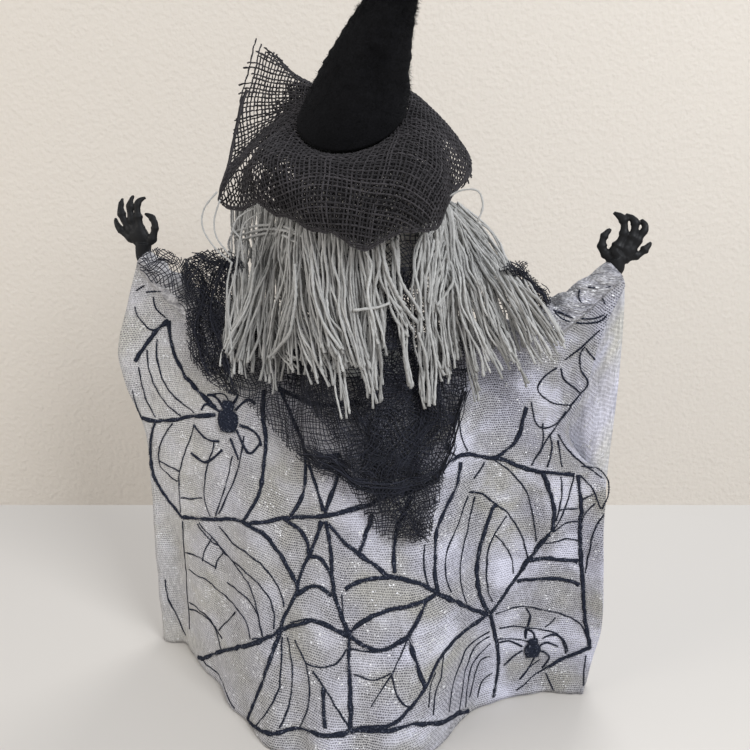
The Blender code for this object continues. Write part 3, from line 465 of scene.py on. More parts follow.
def knit_paint():
    """Fine silvery knit with rows of small holes, faint streaks and foil thread, and painted light: painted shade
    in the holes and the middle, a brightened front, a painted sheen and painted glints.
    """
    paint = Paint("silver_knit", roughness=0.8)
    cloth = paint.marks()
    x, y, region = paint.split(cloth)

    def on_front(front):
        return paint.ramp(region, -1, 0, front, 1.0)

    def on_sleeve(back, sleeve):
        return paint.ramp(region, 0, 1, back, sleeve)

    sway = paint.times(paint.minus(paint.noise(cloth, 3.4, 2), 0.5), 1.3)
    rows = paint.math("DIVIDE", paint.plus(y, sway), KNIT_ROW)
    shift = paint.times(paint.math("FLOOR", rows), 0.5)
    columns = paint.plus(paint.math("DIVIDE", paint.plus(x, sway), KNIT_COLUMN), shift)
    u = paint.math("DIVIDE", paint.minus(paint.math("FRACT", columns), 0.5), 0.42)
    v = paint.math("DIVIDE", paint.minus(paint.math("FRACT", rows), 0.5), 0.3)
    off = paint.math("SQRT", paint.plus(paint.times(u, u), paint.times(v, v)))
    off = paint.plus(off, paint.times(paint.minus(paint.noise(cloth, 0.9, 2), 0.5), 1.5))
    hole = paint.ramp(off, 0.45, 1.15, 1.0, 0.0)
    # Painted shade: more holes open across the middle, where the shade of the body behind the thin knit shows
    # through
    middle = paint.ramp(x, 20, 80, 0.0, 0.35)
    strength = paint.plus(paint.ramp(paint.noise(cloth, 22, 2), 0.38, 0.62, 0.3, 0.75), middle, clamp=True)
    strength = paint.times(strength, paint.times(on_front(0.1), on_sleeve(1.0, 0.4)))
    # Partly painted light: the thread's tone wanders at random, and it turns bluer towards the right, painting the
    # cool tint of the light from that side
    wide = paint.times(paint.ramp(paint.noise(cloth, 30, 2), 0.35, 0.6), paint.ramp(x, 20, 150, 0.35, 1.0))
    thread = paint.blend(wide, (0.5, 0.485, 0.45), (0.53, 0.525, 0.6))
    streak = paint.noise(paint.stretch(cloth, (1.0, 0.12, 1.0)), 0.7, 3, 0.7)
    # Painted shade: the thread's streaks are its own, but the tone drops from x 20 to 75 and stays lower beyond,
    # for shade behind the thin cloth
    fine = paint.times(paint.ramp(streak, 0.3, 0.7, 0.66, 1.2), paint.ramp(x, 20, 75, 1.12, 0.86))
    # Painted light: the front panel's inside, which is in shade, is painted half again as bright
    fine = paint.times(fine, on_front(1.5))
    ruck = paint.noise(cloth, 2.3, 3, 0.6)
    shade = paint.minus(paint.ramp(ruck, 0.38, 0.6, 0.4, 1.2), 1.0)
    fine = paint.times(fine, paint.math("MULTIPLY_ADD", shade, on_sleeve(0.0, 1.0), 1.0))
    toned = paint.node("VectorMath", operation="SCALE")
    paint.put(toned, 0, thread)
    paint.put(toned, "Scale", fine)
    # Painted sheen: a broad pale lavender brightening in noise patches, stronger towards the right and on the
    # sleeves, which also closes holes
    painted_sheen = paint.ramp(paint.noise(cloth, 20, 3), 0.48, 0.66, 0.0, 0.75)
    painted_sheen = paint.times(painted_sheen, paint.ramp(x, 60, 150, 0.3, 1.0))
    painted_sheen = paint.math("MAXIMUM", painted_sheen, on_sleeve(0.0, 0.2))
    open_hole = paint.times(hole, paint.times(strength, paint.ramp(painted_sheen, 0, 1, 1.0, 0.35)))
    pale = paint.blend(painted_sheen, toned.outputs[0], (0.74, 0.74, 0.86))
    # The near-black of the open holes is painted shade from inside the robe, seen through the knit
    coloured = paint.blend(open_hole, pale, (0.045, 0.045, 0.06))
    cells = paint.cells(paint.stretch(cloth, (0.62, 1.0, 1.0)), 0.85)
    chance = paint.split(cells["Color"])[0]
    patches = paint.ramp(paint.noise(cloth, 8, 3, 0.6), 0.53, 0.67, 0.0, 0.6)
    patches = paint.plus(patches, paint.times(paint.math("MAXIMUM", region, 0.0), 0.3))
    near = paint.ramp(cells["Distance"], 0.3, 0.42, 1.0, 0.0)
    # Specks of foil thread; their near-white colour below is a painted glint, beside a slight metal shine
    foil = paint.times(paint.math("LESS_THAN", paint.minus(0.985, chance), patches), near)
    paint.to("Base Color", paint.blend(foil, coloured, (0.98, 0.98, 1.0)))
    paint.to("Metallic", paint.times(foil, 0.25))
    paint.to("Roughness", paint.ramp(foil, 0, 1, 0.85, 0.25))
    paint.set("Sheen Weight", 0.08)
    relief = paint.plus(paint.times(hole, -1.0), paint.times(foil, 0.8))
    crinkle = paint.times(ruck, on_sleeve(0.0, 14.0))
    paint.bump(paint.plus(paint.plus(relief, streak), crinkle), 0.3, 0.9)
    return paint.material


def flock_paint():
    """Blue-black flock with a short uneven pile."""
    paint = Paint("flocked_print", roughness=0.95)
    place = paint.place()
    speck = paint.noise(place, 0.45, 3, 0.7)
    base = paint.blend(paint.ramp(speck, 0.35, 0.7), (0.003, 0.004, 0.009), (0.03, 0.037, 0.06))
    worn = paint.ramp(paint.noise(place, 0.8, 2), 0.62, 0.7)
    paint.to("Base Color", paint.blend(worn, base, (0.16, 0.17, 0.21)))
    paint.set("Specular IOR Level", 0.15)
    paint.bump(speck, 0.4, 0.9)
    return paint.material


def thread_paint(name, dark, light, sheen, twist=3.0):
    """Spun thread: two tones by strand, with the fine slant of its twist."""
    paint = Paint(name, roughness=0.9)
    paint.set("Specular IOR Level", 0.3)
    strand, run, _ = paint.split(paint.marks())
    fibres = paint.noise(paint.stretch(paint.place(), (1.0, 1.0, 0.45)), 0.5, 3, 0.65)
    tone = paint.plus(paint.times(strand, 0.6), paint.times(fibres, 0.5), clamp=True)
    paint.to("Base Color", paint.blend(tone, dark, light))
    paint.set("Sheen Weight", sheen)
    paint.set("Sheen Roughness", 0.4)
    slant = paint.math("SINE", paint.times(run, twist))
    paint.bump(paint.plus(paint.times(slant, 0.25), fibres), 0.18, 0.7)
    return paint.material


def felt_paint():
    """Black felt: matted fibres with faint pale specks."""
    paint = Paint("black_felt", roughness=1.0)
    place = paint.place()
    mat = paint.noise(place, 0.7, 4, 0.7)
    wide = paint.noise(place, 9, 2)
    tone = paint.times(paint.ramp(mat, 0.3, 0.75), paint.ramp(wide, 0.3, 0.7, 0.6, 1.0))
    paint.to("Base Color", paint.blend(tone, (0.0022, 0.0022, 0.0026), (0.011, 0.011, 0.013)))
    paint.set("Specular IOR Level", 0.15)
    paint.bump(mat, 0.5, 0.9)
    return paint.material


def plastic_paint():
    """Black plastic with dull scuffs."""
    paint = Paint("black_plastic")
    scuff = paint.noise(paint.place(), 1.6, 4, 0.6)
    paint.to("Base Color", paint.blend(scuff, (0.002, 0.002, 0.0025), (0.008, 0.008, 0.009)))
    paint.set("Specular IOR Level", 0.25)
    paint.to("Roughness", paint.ramp(scuff, 0.3, 0.7, 0.45, 0.7))
    paint.bump(scuff, 0.15, 0.6)
    return paint.material


def muslin_paint():
    """Unbleached muslin with its plain weave."""
    paint = Paint("muslin", roughness=0.92)
    place = paint.place()
    x, y, z = (paint.math("SINE", paint.times(way, 2 * pi / MUSLIN_PITCH)) for way in paint.split(place))
    weft = paint.plus(paint.times(x, z), paint.times(y, z))
    cloudy = paint.noise(place, 7, 3)
    paint.to("Base Color", paint.blend(cloudy, (0.6, 0.565, 0.51), (0.74, 0.71, 0.66)))
    paint.set("Sheen Weight", 0.15)
    paint.bump(paint.plus(weft, paint.noise(place, 1.2, 3)), 0.12, 0.6)
    return paint.material


def foam_paint():
    """White foam with the beads that it is pressed from."""
    paint = Paint("white_foam", roughness=0.85)
    beads = paint.cells(paint.place(), 3.0)["Distance"]
    paint.to("Base Color", paint.blend(paint.ramp(beads, 0.2, 0.75), (0.84, 0.84, 0.82), (0.7, 0.7, 0.68)))
    paint.bump(beads, -0.35, 0.8)
    return paint.material


def wood_paint():
    """Turned wood, its grain along the dowel."""
    paint = Paint("dowel_wood", roughness=0.6)
    grain = paint.noise(paint.stretch(paint.place(), (1.6, 1.6, 0.08)), 0.9, 4, 0.6)
    paint.to("Base Color", paint.blend(grain, (0.42, 0.28, 0.15), (0.66, 0.5, 0.31)))
    paint.to("Roughness", paint.ramp(grain, 0.3, 0.7, 0.5, 0.75))
    paint.bump(grain, 0.12, 0.6)
    return paint.material


def wire_paint():
    """Drawn steel wire, with its lines along the arms."""
    paint = Paint("steel_wire", metallic=1.0)
    drawn = paint.noise(paint.stretch(paint.place(), (0.1, 2.0, 2.0)), 0.8, 3)
    paint.to("Base Color", paint.blend(drawn, (0.38, 0.38, 0.4), (0.58, 0.58, 0.6)))
    paint.to("Roughness", paint.ramp(drawn, 0.3, 0.7, 0.25, 0.45))
    paint.bump(drawn, 0.05, 0.5)
    return paint.material


KNIT = knit_paint()
FLOCK = flock_paint()
GAUZE = thread_paint("black_gauze", (0.0018, 0.0022, 0.0035), (0.028, 0.03, 0.045), 0.05)
YARN = thread_paint("grey_yarn", (0.12, 0.118, 0.113), (0.6, 0.595, 0.575), 0.15, 2.6)
SACKING = thread_paint("dark_sacking", (0.0012, 0.0012, 0.0018), (0.056, 0.051, 0.055), 0.04, 4.0)
FELT = felt_paint()
PLASTIC = plastic_paint()


# Robe
ROBE_WALL, ROBE_FLAT = 0.5, (0.215, 0.4)
ROBE_COLUMNS, BACK_ROWS, SLEEVE_ROWS, FRONT_ROWS = 145, 88, 24, 44


def sleeve_radius(x):
    return mix(WRIST_RADIUS, SLEEVE_RADIUS, np.clip((HALF_SPAN - np.abs(x)) / SLEEVE_TAPER, 0, 1))


def sleeve_axis(x):
    """The arm's direction across and up at x."""
    step = 0.5
    low = np.clip(x - step, -HALF_SPAN, HALF_SPAN - step)
    rise = arm_height(low + step) - arm_height(low)
    length = np.sqrt(step ** 2 + rise ** 2)
    return step / length, rise / length


def sleeve_point(x, angle):
    """Points round the arm, angle 0 on top and negative behind."""
    level, rise = sleeve_axis(x)
    ruck = np.cos(angle / 2) ** 2
    pucker = 1.05 + 0.13 * np.sin(x * 0.75 + 2.5 * np.sin(angle)) * ruck
    pucker = pucker + 0.12 * ripple(x * 2, angle * 9, 9, 21) * ruck
    radius = sleeve_radius(x) * mix(1.0, pucker, np.minimum((HALF_SPAN - np.abs(x)) / 6, 1))
    up = np.cos(angle) * radius
    return np.stack((x - rise * up, np.sin(angle) * radius, arm_height(x) + level * up), -1)


def panel_point(share, fall, hem, side):
    """Points of a panel that hangs from the sleeves' seam, at fall 0, to the hem, at fall 1."""
    seam = sleeve_point((share - 0.5) * ARM_SPAN, np.full_like(share, side * SLEEVE_SEAM))
    z = mix(seam[..., 2], HEM_LIFT, fall)
    drawn = side < 0
    pull = (seam[..., 0] - panel_across(share, seam[..., 2], drawn)) * (1 - fall) ** 4
    x = panel_across(share, z, drawn) + pull
    return np.stack((x, side * robe_depth(x, z, hem), z), -1)


def make_robe():
    """One cloth from the back hem over the sleeves to the front hem, open at the neck."""
    share = np.linspace(0, 1, ROBE_COLUMNS)
    rows = []
    for fall in np.linspace(1, 0, BACK_ROWS, endpoint=False):
        rows.append(panel_point(share, np.full_like(share, fall), BACK_HEM, -1))
    for angle in np.linspace(-SLEEVE_SEAM, SLEEVE_SEAM, SLEEVE_ROWS, endpoint=False):
        rows.append(sleeve_point((share - 0.5) * ARM_SPAN, np.full_like(share, angle)))
    for fall in np.linspace(0, 1, FRONT_ROWS):
        rows.append(panel_point(share, np.full_like(share, fall), FRONT_HEM, 1))
    points = np.array(rows)
    across = np.broadcast_to(share * ARM_SPAN, points.shape[:2])
    steps = np.linalg.norm(np.diff(points, axis=0), axis=2)
    down = np.concatenate((np.zeros((1, ROBE_COLUMNS)), np.cumsum(steps, axis=0)))
    region = np.zeros(across.shape)
    region[BACK_ROWS:BACK_ROWS + SLEEVE_ROWS] = 1
    region[BACK_ROWS + SLEEVE_ROWS:] = -1
    quads = grid_faces(len(rows), ROBE_COLUMNS)
    middle = (quads[:, 0] % ROBE_COLUMNS + 0.5) / (ROBE_COLUMNS - 1) - 0.5
    neck = (region.ravel()[quads[:, 0]] == 1) & (np.abs(middle) * ARM_SPAN < NECK_HALF_WIDTH)
    used = quads[~neck]
    keep = np.zeros(region.size, bool)
    keep[used.ravel()] = True
    index = np.cumsum(keep) - 1
    marks = np.stack((across.ravel(), down.ravel(), region.ravel()), -1)
    pile = Pile()
    pile.add(points.reshape(-1, 3)[keep], index[used], None, marks[keep])
    robe = pile.make("robe_knit", KNIT)
    wall = robe.modifiers.new("wall", "SOLIDIFY")
    wall.thickness, wall.offset = ROBE_WALL * MM, 0
    settle(robe, "silver_knit", "robe")


make_robe()


# Flocked web, as lines drawn along pixels of the photograph
WEB_THICK = (
    ((143, 418), (154.7, 420.6), (166, 420), (183, 418), (199.5, 415.7), (216, 414.8)),
    ((168.8, 320.4), (173, 348.4), (184.2, 374), (189.5, 380), (202.8, 395), (216, 408)),
    ((135, 361), (156, 331.6), (168.8, 320.4)),
    ((156, 423), (151.4, 438), (151.4, 459.6), (156, 479.5), (169.7, 501), (183, 517.6)),
    ((264, 390), (264, 420), (265.8, 446), (262.5, 479.5), (257.5, 499), (244, 521)),
    ((183, 517.6), (199.5, 518.5), (216, 519), (244, 521.8)),
    ((244, 522.6), (265.8, 521), (290.7, 517.6), (323.9, 516), (358.7, 507.7)),
    ((279, 386.6), (290.7, 413), (304, 446), (307, 459.6)),
    ((305.6, 459.6), (305.6, 482.8), (300.7, 501), (290.7, 516)),
    ((279, 388), (299, 398), (323.9, 405), (358.7, 401.6)),
    ((304, 453), (320.6, 457), (340.5, 454.6)),
    ((309, 463), (317, 487.8), (323.9, 511)),
    ((343.8, 459.6), (337, 479.5), (325.5, 512.7)),
    ((322, 521), (317, 537.5), (310.6, 552.5)),
    ((325.5, 521), (330.5, 545.8), (332, 575.7)),
    ((328.9, 524), (340.5, 537.5), (355.4, 550.8)),
    ((284, 519), (299, 529), (307, 540.9), (309, 554)),
    ((309, 555.8), (322, 559), (332, 575.7)),
    ((244, 522.6), (262.5, 532.6), (274, 545.8), (284, 559), (292, 574), (297, 585.6)),
    ((310.6, 552.5), (300, 577), (297, 594)),
    ((332, 575.7), (334, 586), (333.8, 594)),
    ((297, 594), (315.6, 585.6), (332, 595.6)),
    ((297, 592), (284, 618.8), (281, 630)),
    ((333.8, 594), (340.5, 612), (349, 636)),
    ((526.6, 407), (524, 416), (517, 439), (506, 450), (497, 457)),
    ((440, 471), (454, 458.6), (465, 454), (483, 457), (500.7, 458.6), (518.6, 466), (536, 471), (554, 473),
     (574, 474.6)),
    ((460.5, 462), (456, 485), (445, 508.6), (436, 532), (434.6, 558.6), (434.6, 576), (437, 592.5)),
    ((497, 505), (492, 508.6), (484.6, 532), (479, 549.6), (476.6, 573), (480, 594), (488, 612)),
    ((543.6, 473), (550.7, 494), (554, 512), (552.5, 530)),
    ((549, 533.6), (529, 558.6), (515, 578), (490, 614)),
    ((577.5, 474.6), (581, 505), (580, 532), (581, 558.6), (582.9, 585), (585.5, 621), (590, 648)),
    ((529, 560), (554, 558.6), (577.5, 561)),
    ((516.8, 581), (545, 578), (566.8, 580), (579, 585)),
    ((437, 592.5), (454, 601), (470, 608.6), (488, 614)),
    ((358, 555), (365, 537), (372, 514)),
    ((355, 551), (375.7, 565.7), (386, 574.6), (399, 578)),
    ((399, 578), (420, 583.6), (437, 592.5)),
    ((395, 573), (393.6, 549.6), (399, 523), (408, 503), (411, 496)),
    ((345, 589), (358, 582), (375.7, 578), (399, 578)),
    ((349, 634), (367, 619), (393.6, 608.6), (425.7, 599.6), (437, 592.5)),
    ((425.7, 601), (418.6, 617.5), (408, 637)),
    ((454, 639), (465, 630), (488, 614)),
    ((340, 512), (358, 507), (368.6, 505), (384.6, 496), (411, 490.7), (438, 474.6)),
    ((281, 630), (240, 647), (197, 658)),
    ((281, 630), (264, 678), (248, 720)),
    ((248, 720), (290, 729), (350, 731)),
    ((349, 636), (350, 685), (350, 731)),
    ((349, 636), (379, 650), (408, 637)),
    ((408, 637), (417, 664), (425, 688)),
    ((454, 639), (438, 660), (425, 688)),
    ((425, 688), (395, 722), (350, 731)),
    ((490, 614), (498, 655), (493, 697)),
    ((350, 731), (415, 724), (474, 711)),
    ((590, 647), (575, 653), (560, 660), (545, 668)),
    ((281, 630), (313, 621), (349, 636)),
    ((323, 687), (325, 728)),
)
WEB_THIN = (
    ((135, 306.3), (137.9, 316), (147.7, 327.4), (156, 330)),
    ((153.3, 296.5), (156, 307.7), (166, 317.5)),
    ((136.5, 290.9), (144.9, 285.3)),
    ((146.3, 292.3), (161.8, 290.9)),
    ((147.7, 349.8), (148.4, 363.9), (153, 381.7)),
    ((157.5, 338.6), (157.5, 359.6), (163, 380)),
    ((139.3, 366.7), (141.5, 380)),
    ((588, 287), (600, 288), (610, 286)),
    ((580, 290), (579, 299), (587, 309)),
    ((602, 289), (602, 297), (605, 304)),
    ((571.6, 405.7), (548.7, 436.3), (540, 452)),
    ((543, 422.9), (542, 447.8), (531.5, 465)),
    ((550.6, 436), (552.5, 447.8), (547.7, 466.9)),
    ((558, 440), (562, 466.9)),
    ((558, 434), (569.7, 451.6), (585, 465), (602, 478)),
    ((133, 390), (138, 410), (143, 420)),
    ((141.5, 380), (148, 401.6), (156, 417)),
    ((153, 381.7), (164.7, 401.6), (181, 416.5)),
    ((163, 380), (176, 398), (194.5, 413)),
    ((173, 423), (163, 438), (159, 454.6), (161, 466), (173, 478), (178, 481)),
    ((159, 459.6), (179.6, 471)),
    ((194.5, 424.8), (188, 446), (181, 466), (179.6, 488), (181, 512.7)),
    ((214, 439.7), (212.8, 451), (207.8, 466), (204.5, 488), (206, 504), (211, 516)),
    ((232.7, 456), (227.7, 479.5), (221, 501), (216, 516)),
    ((244, 436), (241, 458), (236, 476), (227.7, 496), (219.4, 514)),
    ((181, 497.7), (191, 498.6), (202.8, 497.7)),
    ((207.8, 395), (222.7, 394), (229, 400)),
    ((199.5, 522.6), (212.8, 537.5), (224.4, 552.5), (241, 567), (257.5, 582), (269, 597), (274, 612),
     (274, 628.8)),
    ((219.4, 526), (232.7, 542.5), (249, 554), (265.8, 569), (275.8, 582), (282.4, 595.6), (284, 607)),
    ((189.5, 569), (206, 579), (219.4, 590.6), (236, 607), (246, 620.5), (251, 638.7)),
    ((227.7, 582), (242.6, 594), (255.9, 610.5), (262.5, 635)),
    ((186, 552.5), (202.8, 559), (216, 567)),
    ((212.8, 537.5), (206, 549), (202.8, 560.8)),
    ((223.5, 552.5), (217.7, 560.8), (216, 569)),
    ((236, 612), (219.4, 630)),
    ((190, 608.9), (202.8, 613.8), (212.8, 623.8), (222.7, 638.7)),
    ((183, 521), (183.7, 537.5), (186, 562), (188, 595.6), (190, 628.8)),
    ((165.5, 579), (168, 595.6), (171, 604), (179.6, 620.5), (186, 635)),
    ((252.6, 638.7), (275.8, 635)),
    ((290.7, 622), (312, 618.8), (332, 628.8), (345.4, 637)),
    ((484.6, 462), (474, 478)),
    ((493.6, 458.6), (509.6, 471), (525.7, 490.7), (533, 514), (536, 540.7)),
    ((468.6, 492.5), (483, 494), (495, 503), (508, 514), (520, 532), (525.7, 549.6), (528, 558.6)),
    ((467.7, 496), (458, 523), (447, 549.6), (445, 573), (450.7, 592.5)),
    ((475, 496), (468.6, 523), (463, 546), (459.6, 567.5), (461.4, 590.7), (466.8, 603)),
    ((506, 515.7), (495, 532), (488, 549.6), (486.4, 573), (488, 590.7), (491.8, 601.4)),
    ((495, 535), (504, 544), (511.4, 558.6), (513, 573)),
    ((574, 476), (566.8, 501), (557.9, 523), (549, 533.6)),
    ((560.5, 476), (562, 496), (556, 521)),
    ((559.6, 510), (577.5, 507.7)),
    ((552.5, 532), (565, 523), (577.5, 521)),
    ((545, 543), (563, 539), (578, 540.7)),
    ((579, 474.6), (593.6, 490.7), (600.7, 508.6)),
    ((581, 465.7), (599, 469), (608, 480), (608, 496), (602.5, 508.6)),
    ((604, 514), (593.6, 532), (588, 558.6), (585.5, 573)),
    ((595, 503), (584.6, 514), (581, 528)),
    ((593.6, 494), (581, 499.6)),
    ((495, 614), (509.6, 608.6), (536, 607.7), (563, 614), (581, 624.6), (588, 640)),
    ((499, 628), (540, 629), (562, 637), (568, 651)),
    ((495, 640), (528, 641)),
    ((342, 594), (343.6, 621), (347, 637)),
    ((600, 330), (585, 344), (565, 360)),
    ((585, 346), (580, 355), (581, 369), (588, 382), (580, 394), (571, 405)),
    ((586, 348), (595, 359.5)),
    ((557, 367.5), (546, 375), (537.5, 387), (543, 396), (553.6, 403), (571, 405)),
    ((560.7, 368), (564, 378), (571, 385), (580, 392)),
    ((198, 524), (211, 540), (250, 585), (263, 637)),
    ((190, 602), (210, 618), (222, 650)),
    ((282, 637), (281, 674), (275, 699), (256, 726)),
    ((288, 637), (293, 671), (289, 706), (279, 728)),
    ((295, 640), (307, 667), (309, 703), (300, 728)),
    ((307, 663), (322, 667), (338, 662), (347, 649)),
    ((313, 671), (324, 687), (350, 726)),
    ((350, 649), (379, 651), (400, 644), (408, 638)),
    ((354, 674), (374, 680), (391, 673)),
    ((408, 638), (392, 674), (371, 706)),
    ((392, 676), (397, 696), (412, 708)),
    ((204, 660), (225, 687), (243, 718)),
    ((360, 732), (412, 724), (460, 714), (478, 712)),
    ((545, 668), (530, 678), (516, 690)),
    ((489, 631), (468, 646), (461, 661), (453, 682), (448, 712)),
    ((489, 636), (475, 646), (466, 666), (462, 687), (458, 714)),
    ((490, 643), (479, 654), (471, 666), (467, 684), (465, 707)),
    ((490, 656), (481, 659), (475, 672), (469, 697)),
    ((492, 672), (481, 682), (477, 697)),
    ((443, 656), (440, 677), (435, 692), (433, 715)),
    ((435, 672), (430, 687), (428, 707)),
    ((519, 679), (527, 669), (540, 659)),
    ((546, 672), (550, 682), (555, 692)),
    ((586, 655), (584, 669), (583, 685)),
    ((526, 608), (530, 615), (528, 626), (526, 637)),
    ((555, 617), (550, 623), (545, 627)),
    ((547, 636), (555, 633), (563, 641), (566, 653)),
    ((425, 544), (424, 567), (430, 590)),
    ((458, 415), (461, 436), (467, 451)),
    ((443, 446), (449, 451), (456, 456)),
    ((531, 402), (535, 421), (543, 428), (556, 424), (566, 411)),
    ((547, 309), (561, 313), (575, 318), (590, 319), (604, 314)),
    ((555, 313), (566, 320), (581, 323), (599, 321), (606, 315)),
)
SPIDERS = (
    ("spider_flock_large", "spider_large", (229, 418), 12.5, (
        ((194.5, 424.8), (206, 438), (219.4, 441)), ((192, 453), (206, 462), (222.7, 450)),
        ((231, 438), (239, 459.6)), ((237, 430), (249, 453), (261, 443)),
        ((240, 425), (255, 432), (262, 446)), ((221, 412), (207, 404), (202, 410)),
        ((224, 408), (215, 396), (207.8, 395)), ((236, 410), (248, 400), (256, 404)),
        ((232, 407), (238, 395), (229, 392)))),
    ("spider_flock_small", "spider_small", (532, 648), 8.5, (
        ((526, 638), (525, 631), (528, 625), (529.6, 617)), ((534.6, 638), (533, 632), (528, 629)),
        ((539.7, 645), (547, 642), (557.6, 646)), ((542, 638), (550, 634.6), (561, 638), (566, 652)),
        ((522, 646), (509, 640.5), (499, 642)), ((522, 650), (513, 656), (504, 665)),
        ((540, 650), (549, 656), (545, 664), (542, 667)), ((534.6, 656), (527, 669), (519, 679)))),
)
SPIDER_LOBES = ((0.12, 0.45, 1.0), (-0.45, 0.27, 0.9))


def dressed_depth(x, z):
    """The robe's back with its sleeves."""
    level, rise = sleeve_axis(x)
    off = (z - arm_height(x)) * level
    radius = sleeve_radius(x)
    sleeve = np.where(np.abs(off) < radius, np.sqrt(np.maximum(radius ** 2 - off ** 2, 0)), OUT_OF_REACH)
    below = ease((arm_height(x) - z + 3) / 5)
    return smooth_max(sleeve, mix(OUT_OF_REACH, robe_depth(x, z), below), 1.5)


def cloth_line(pixels, lift, step=1.2):
    """A smooth line drawn on the robe's back, and the cloth's normals along it."""
    x, _, z = curve_through(seen(pixels, dressed_depth), step).T
    above_hem = z > HEM_LIFT + 1
    x, z = x[above_hem], z[above_hem]
    normals = robe_normals(x, z, dressed_depth)
    return np.stack((x, -dressed_depth(x, z), z), -1) + normals * lift, normals


def bristle(pile, path, normals, width, density, length, dice):
    """Short loose fibres beside a printed line."""
    count = int(len(path) * density)
    if count < 1 or len(path) < 3:
        return
    pick = dice.integers(1, len(path) - 1, count)
    heading = unit(path[pick + 1] - path[pick - 1])
    side = np.cross(heading, normals[pick]) * dice.choice((-1, 1), count)[:, None]
    root = path[pick] + side * width * 0.7
    grow = unit(side + heading * dice.normal(0, 0.8, count)[:, None] + normals[pick] * 0.25)
    tip = root + grow * (length * dice.uniform(0.4, 1.2, count))[:, None]
    across = np.cross(grow, normals[pick]) * 0.09
    pile.fibres(root, across, tip)


def make_web():
    """The web's thick and thin lines: width, step, sides, flatness, and bristles' number and length."""
    pile = Pile()
    dice = np.random.default_rng(13)
    for lines, seed, width, step, sides, flat, density, length in (
            (WEB_THICK, 100, 1.75, 0.9, 6, 0.3, 9, 0.9), (WEB_THIN, 400, 0.68, 1.1, 5, 0.5, 4, 0.6)):
        for number, pixels in enumerate(lines):
            path, normals = cloth_line(pixels, 0.4, step)
            if len(path) < 4:
                continue
            side = np.cross(unit(np.gradient(path, axis=0)), normals)
            path = path + side * (0.24 * (uneven(len(path), seed + number + 60, 1) - 1))[:, None]
            pile.thread(path, width / 2 * uneven(len(path), seed + number, 0.42), sides, normals, flat=flat)
            bristle(pile, path, normals, width / 2, density, length, dice)
    settle(pile.make("web_flock", FLOCK), "flocked_print", "web_print")


def make_spider(name, node, place, size, legs):
    """Two flat furry lobes and their legs."""
    pile = Pile()
    dice = np.random.default_rng(17)
    middle, normals = cloth_line((place, (place[0] + 1, place[1])), 0.9)
    centre, normal = middle[0], normals[0]
    down = np.cross(np.array((1.0, 0, 0)), normal)
    span = np.linspace(-1, 1, 25)
    for shift, radius, long in SPIDER_LOBES:
        reach = size * radius
        path = centre + down * size * shift + down * (span * reach * long)[:, None]
        widths = reach * np.sqrt(np.maximum(1 - np.abs(span) ** 2.6, 0.004)) * uneven(25, 18, 0.12)
        pile.thread(path, widths, 14, normal, flat=0.25)
        for inset in (0.3, 0.6, 0.9):
            bristle(pile, path, np.broadcast_to(normal, path.shape), reach * inset, 12, 1.3, dice)
    leg = size * 0.05
    for number, pixels in enumerate(legs):
        path, path_normals = cloth_line(pixels, 0.5, 0.8)
        pile.thread(path, leg * uneven(len(path), 700 + number, 0.3), 6, path_normals, flat=0.6)
        bristle(pile, path, path_normals, leg, 3, 0.6, dice)
    settle(pile.make(name, FLOCK), "flocked_print", node)


make_web()
for spider in SPIDERS:
    make_spider(*spider)


# Gauze
GAUZE_PITCH, GAUZE_RADIUS, GAUZE_STEP = 1.35, 0.21, 1.2


def inside(outline, x, z):
    """Whether points lie inside a closed outline."""
    outline = np.asarray(outline, float)
    x0, z0 = outline.T
    x1, z1 = np.roll(x0, -1), np.roll(z0, -1)
    x, z = np.asarray(x)[..., None], np.asarray(z)[..., None]
    crosses = (z0 > z) != (z1 > z)
    meets = x0 + (z - z0) / np.where(z1 == z0, 1e-9, z1 - z0) * (x1 - x0)
    return (np.sum(crosses & (x < meets), -1) % 2) == 1


def weave(outline, depth, angle, seed, crumple, lift):
    """A pile of two families of threads over y = -depth inside an outline of x and z."""
    pile = Pile()
    outline = np.asarray(outline, float)
    centre = outline.mean(0)
    reach = np.abs(outline - centre).max() * 1.5
    dice = np.random.default_rng(seed)
    run = np.arange(-reach, reach, GAUZE_STEP)
    for family in (0, 1):
        heading = angle + family * pi / 2
        side = 0.12 if family else -0.12
        lines = np.arange(-reach, reach, GAUZE_PITCH)
        lines = lines + dice.normal(0, 0.16 * GAUZE_PITCH, len(lines))
        u, v = np.meshgrid(run, lines)
        x = centre[0] + u * cos(heading) - v * sin(heading)
        z = centre[1] + u * sin(heading) + v * cos(heading)
        x, z = x + crumple * ripple(x, z, 24, seed), z + crumple * ripple(x, z, 24, seed + 1)
        x = x + 0.3 * crumple * ripple(x, z, 7, seed + 2)
        z = z + 0.3 * crumple * ripple(x, z, 7, seed + 3)
        kept = inside(outline, x, z)
        for row in range(len(lines)):
            for first, last in runs(kept[row]):
                if last - first < 4:
                    continue
                xs, zs = x[row, first:last], z[row, first:last]
                path = np.stack((xs, -(depth(xs, zs) + lift + side), zs), -1)
                widths = 1.06 * GAUZE_RADIUS * uneven(len(path), seed + row, 0.25)
                pile.thread(path, widths, 3, tone=dice.uniform(0, 1))
    return pile


def cape_outline():
    top = [(x, ARM_HEIGHT + float(along(CAPE_TOP, x))) for x in np.linspace(-80, 78, 60)]
    bottom = [(x, ARM_HEIGHT + float(along(CAPE_BOTTOM, x))) for x in np.linspace(78, -80, 60)]
    return np.array(top + bottom)


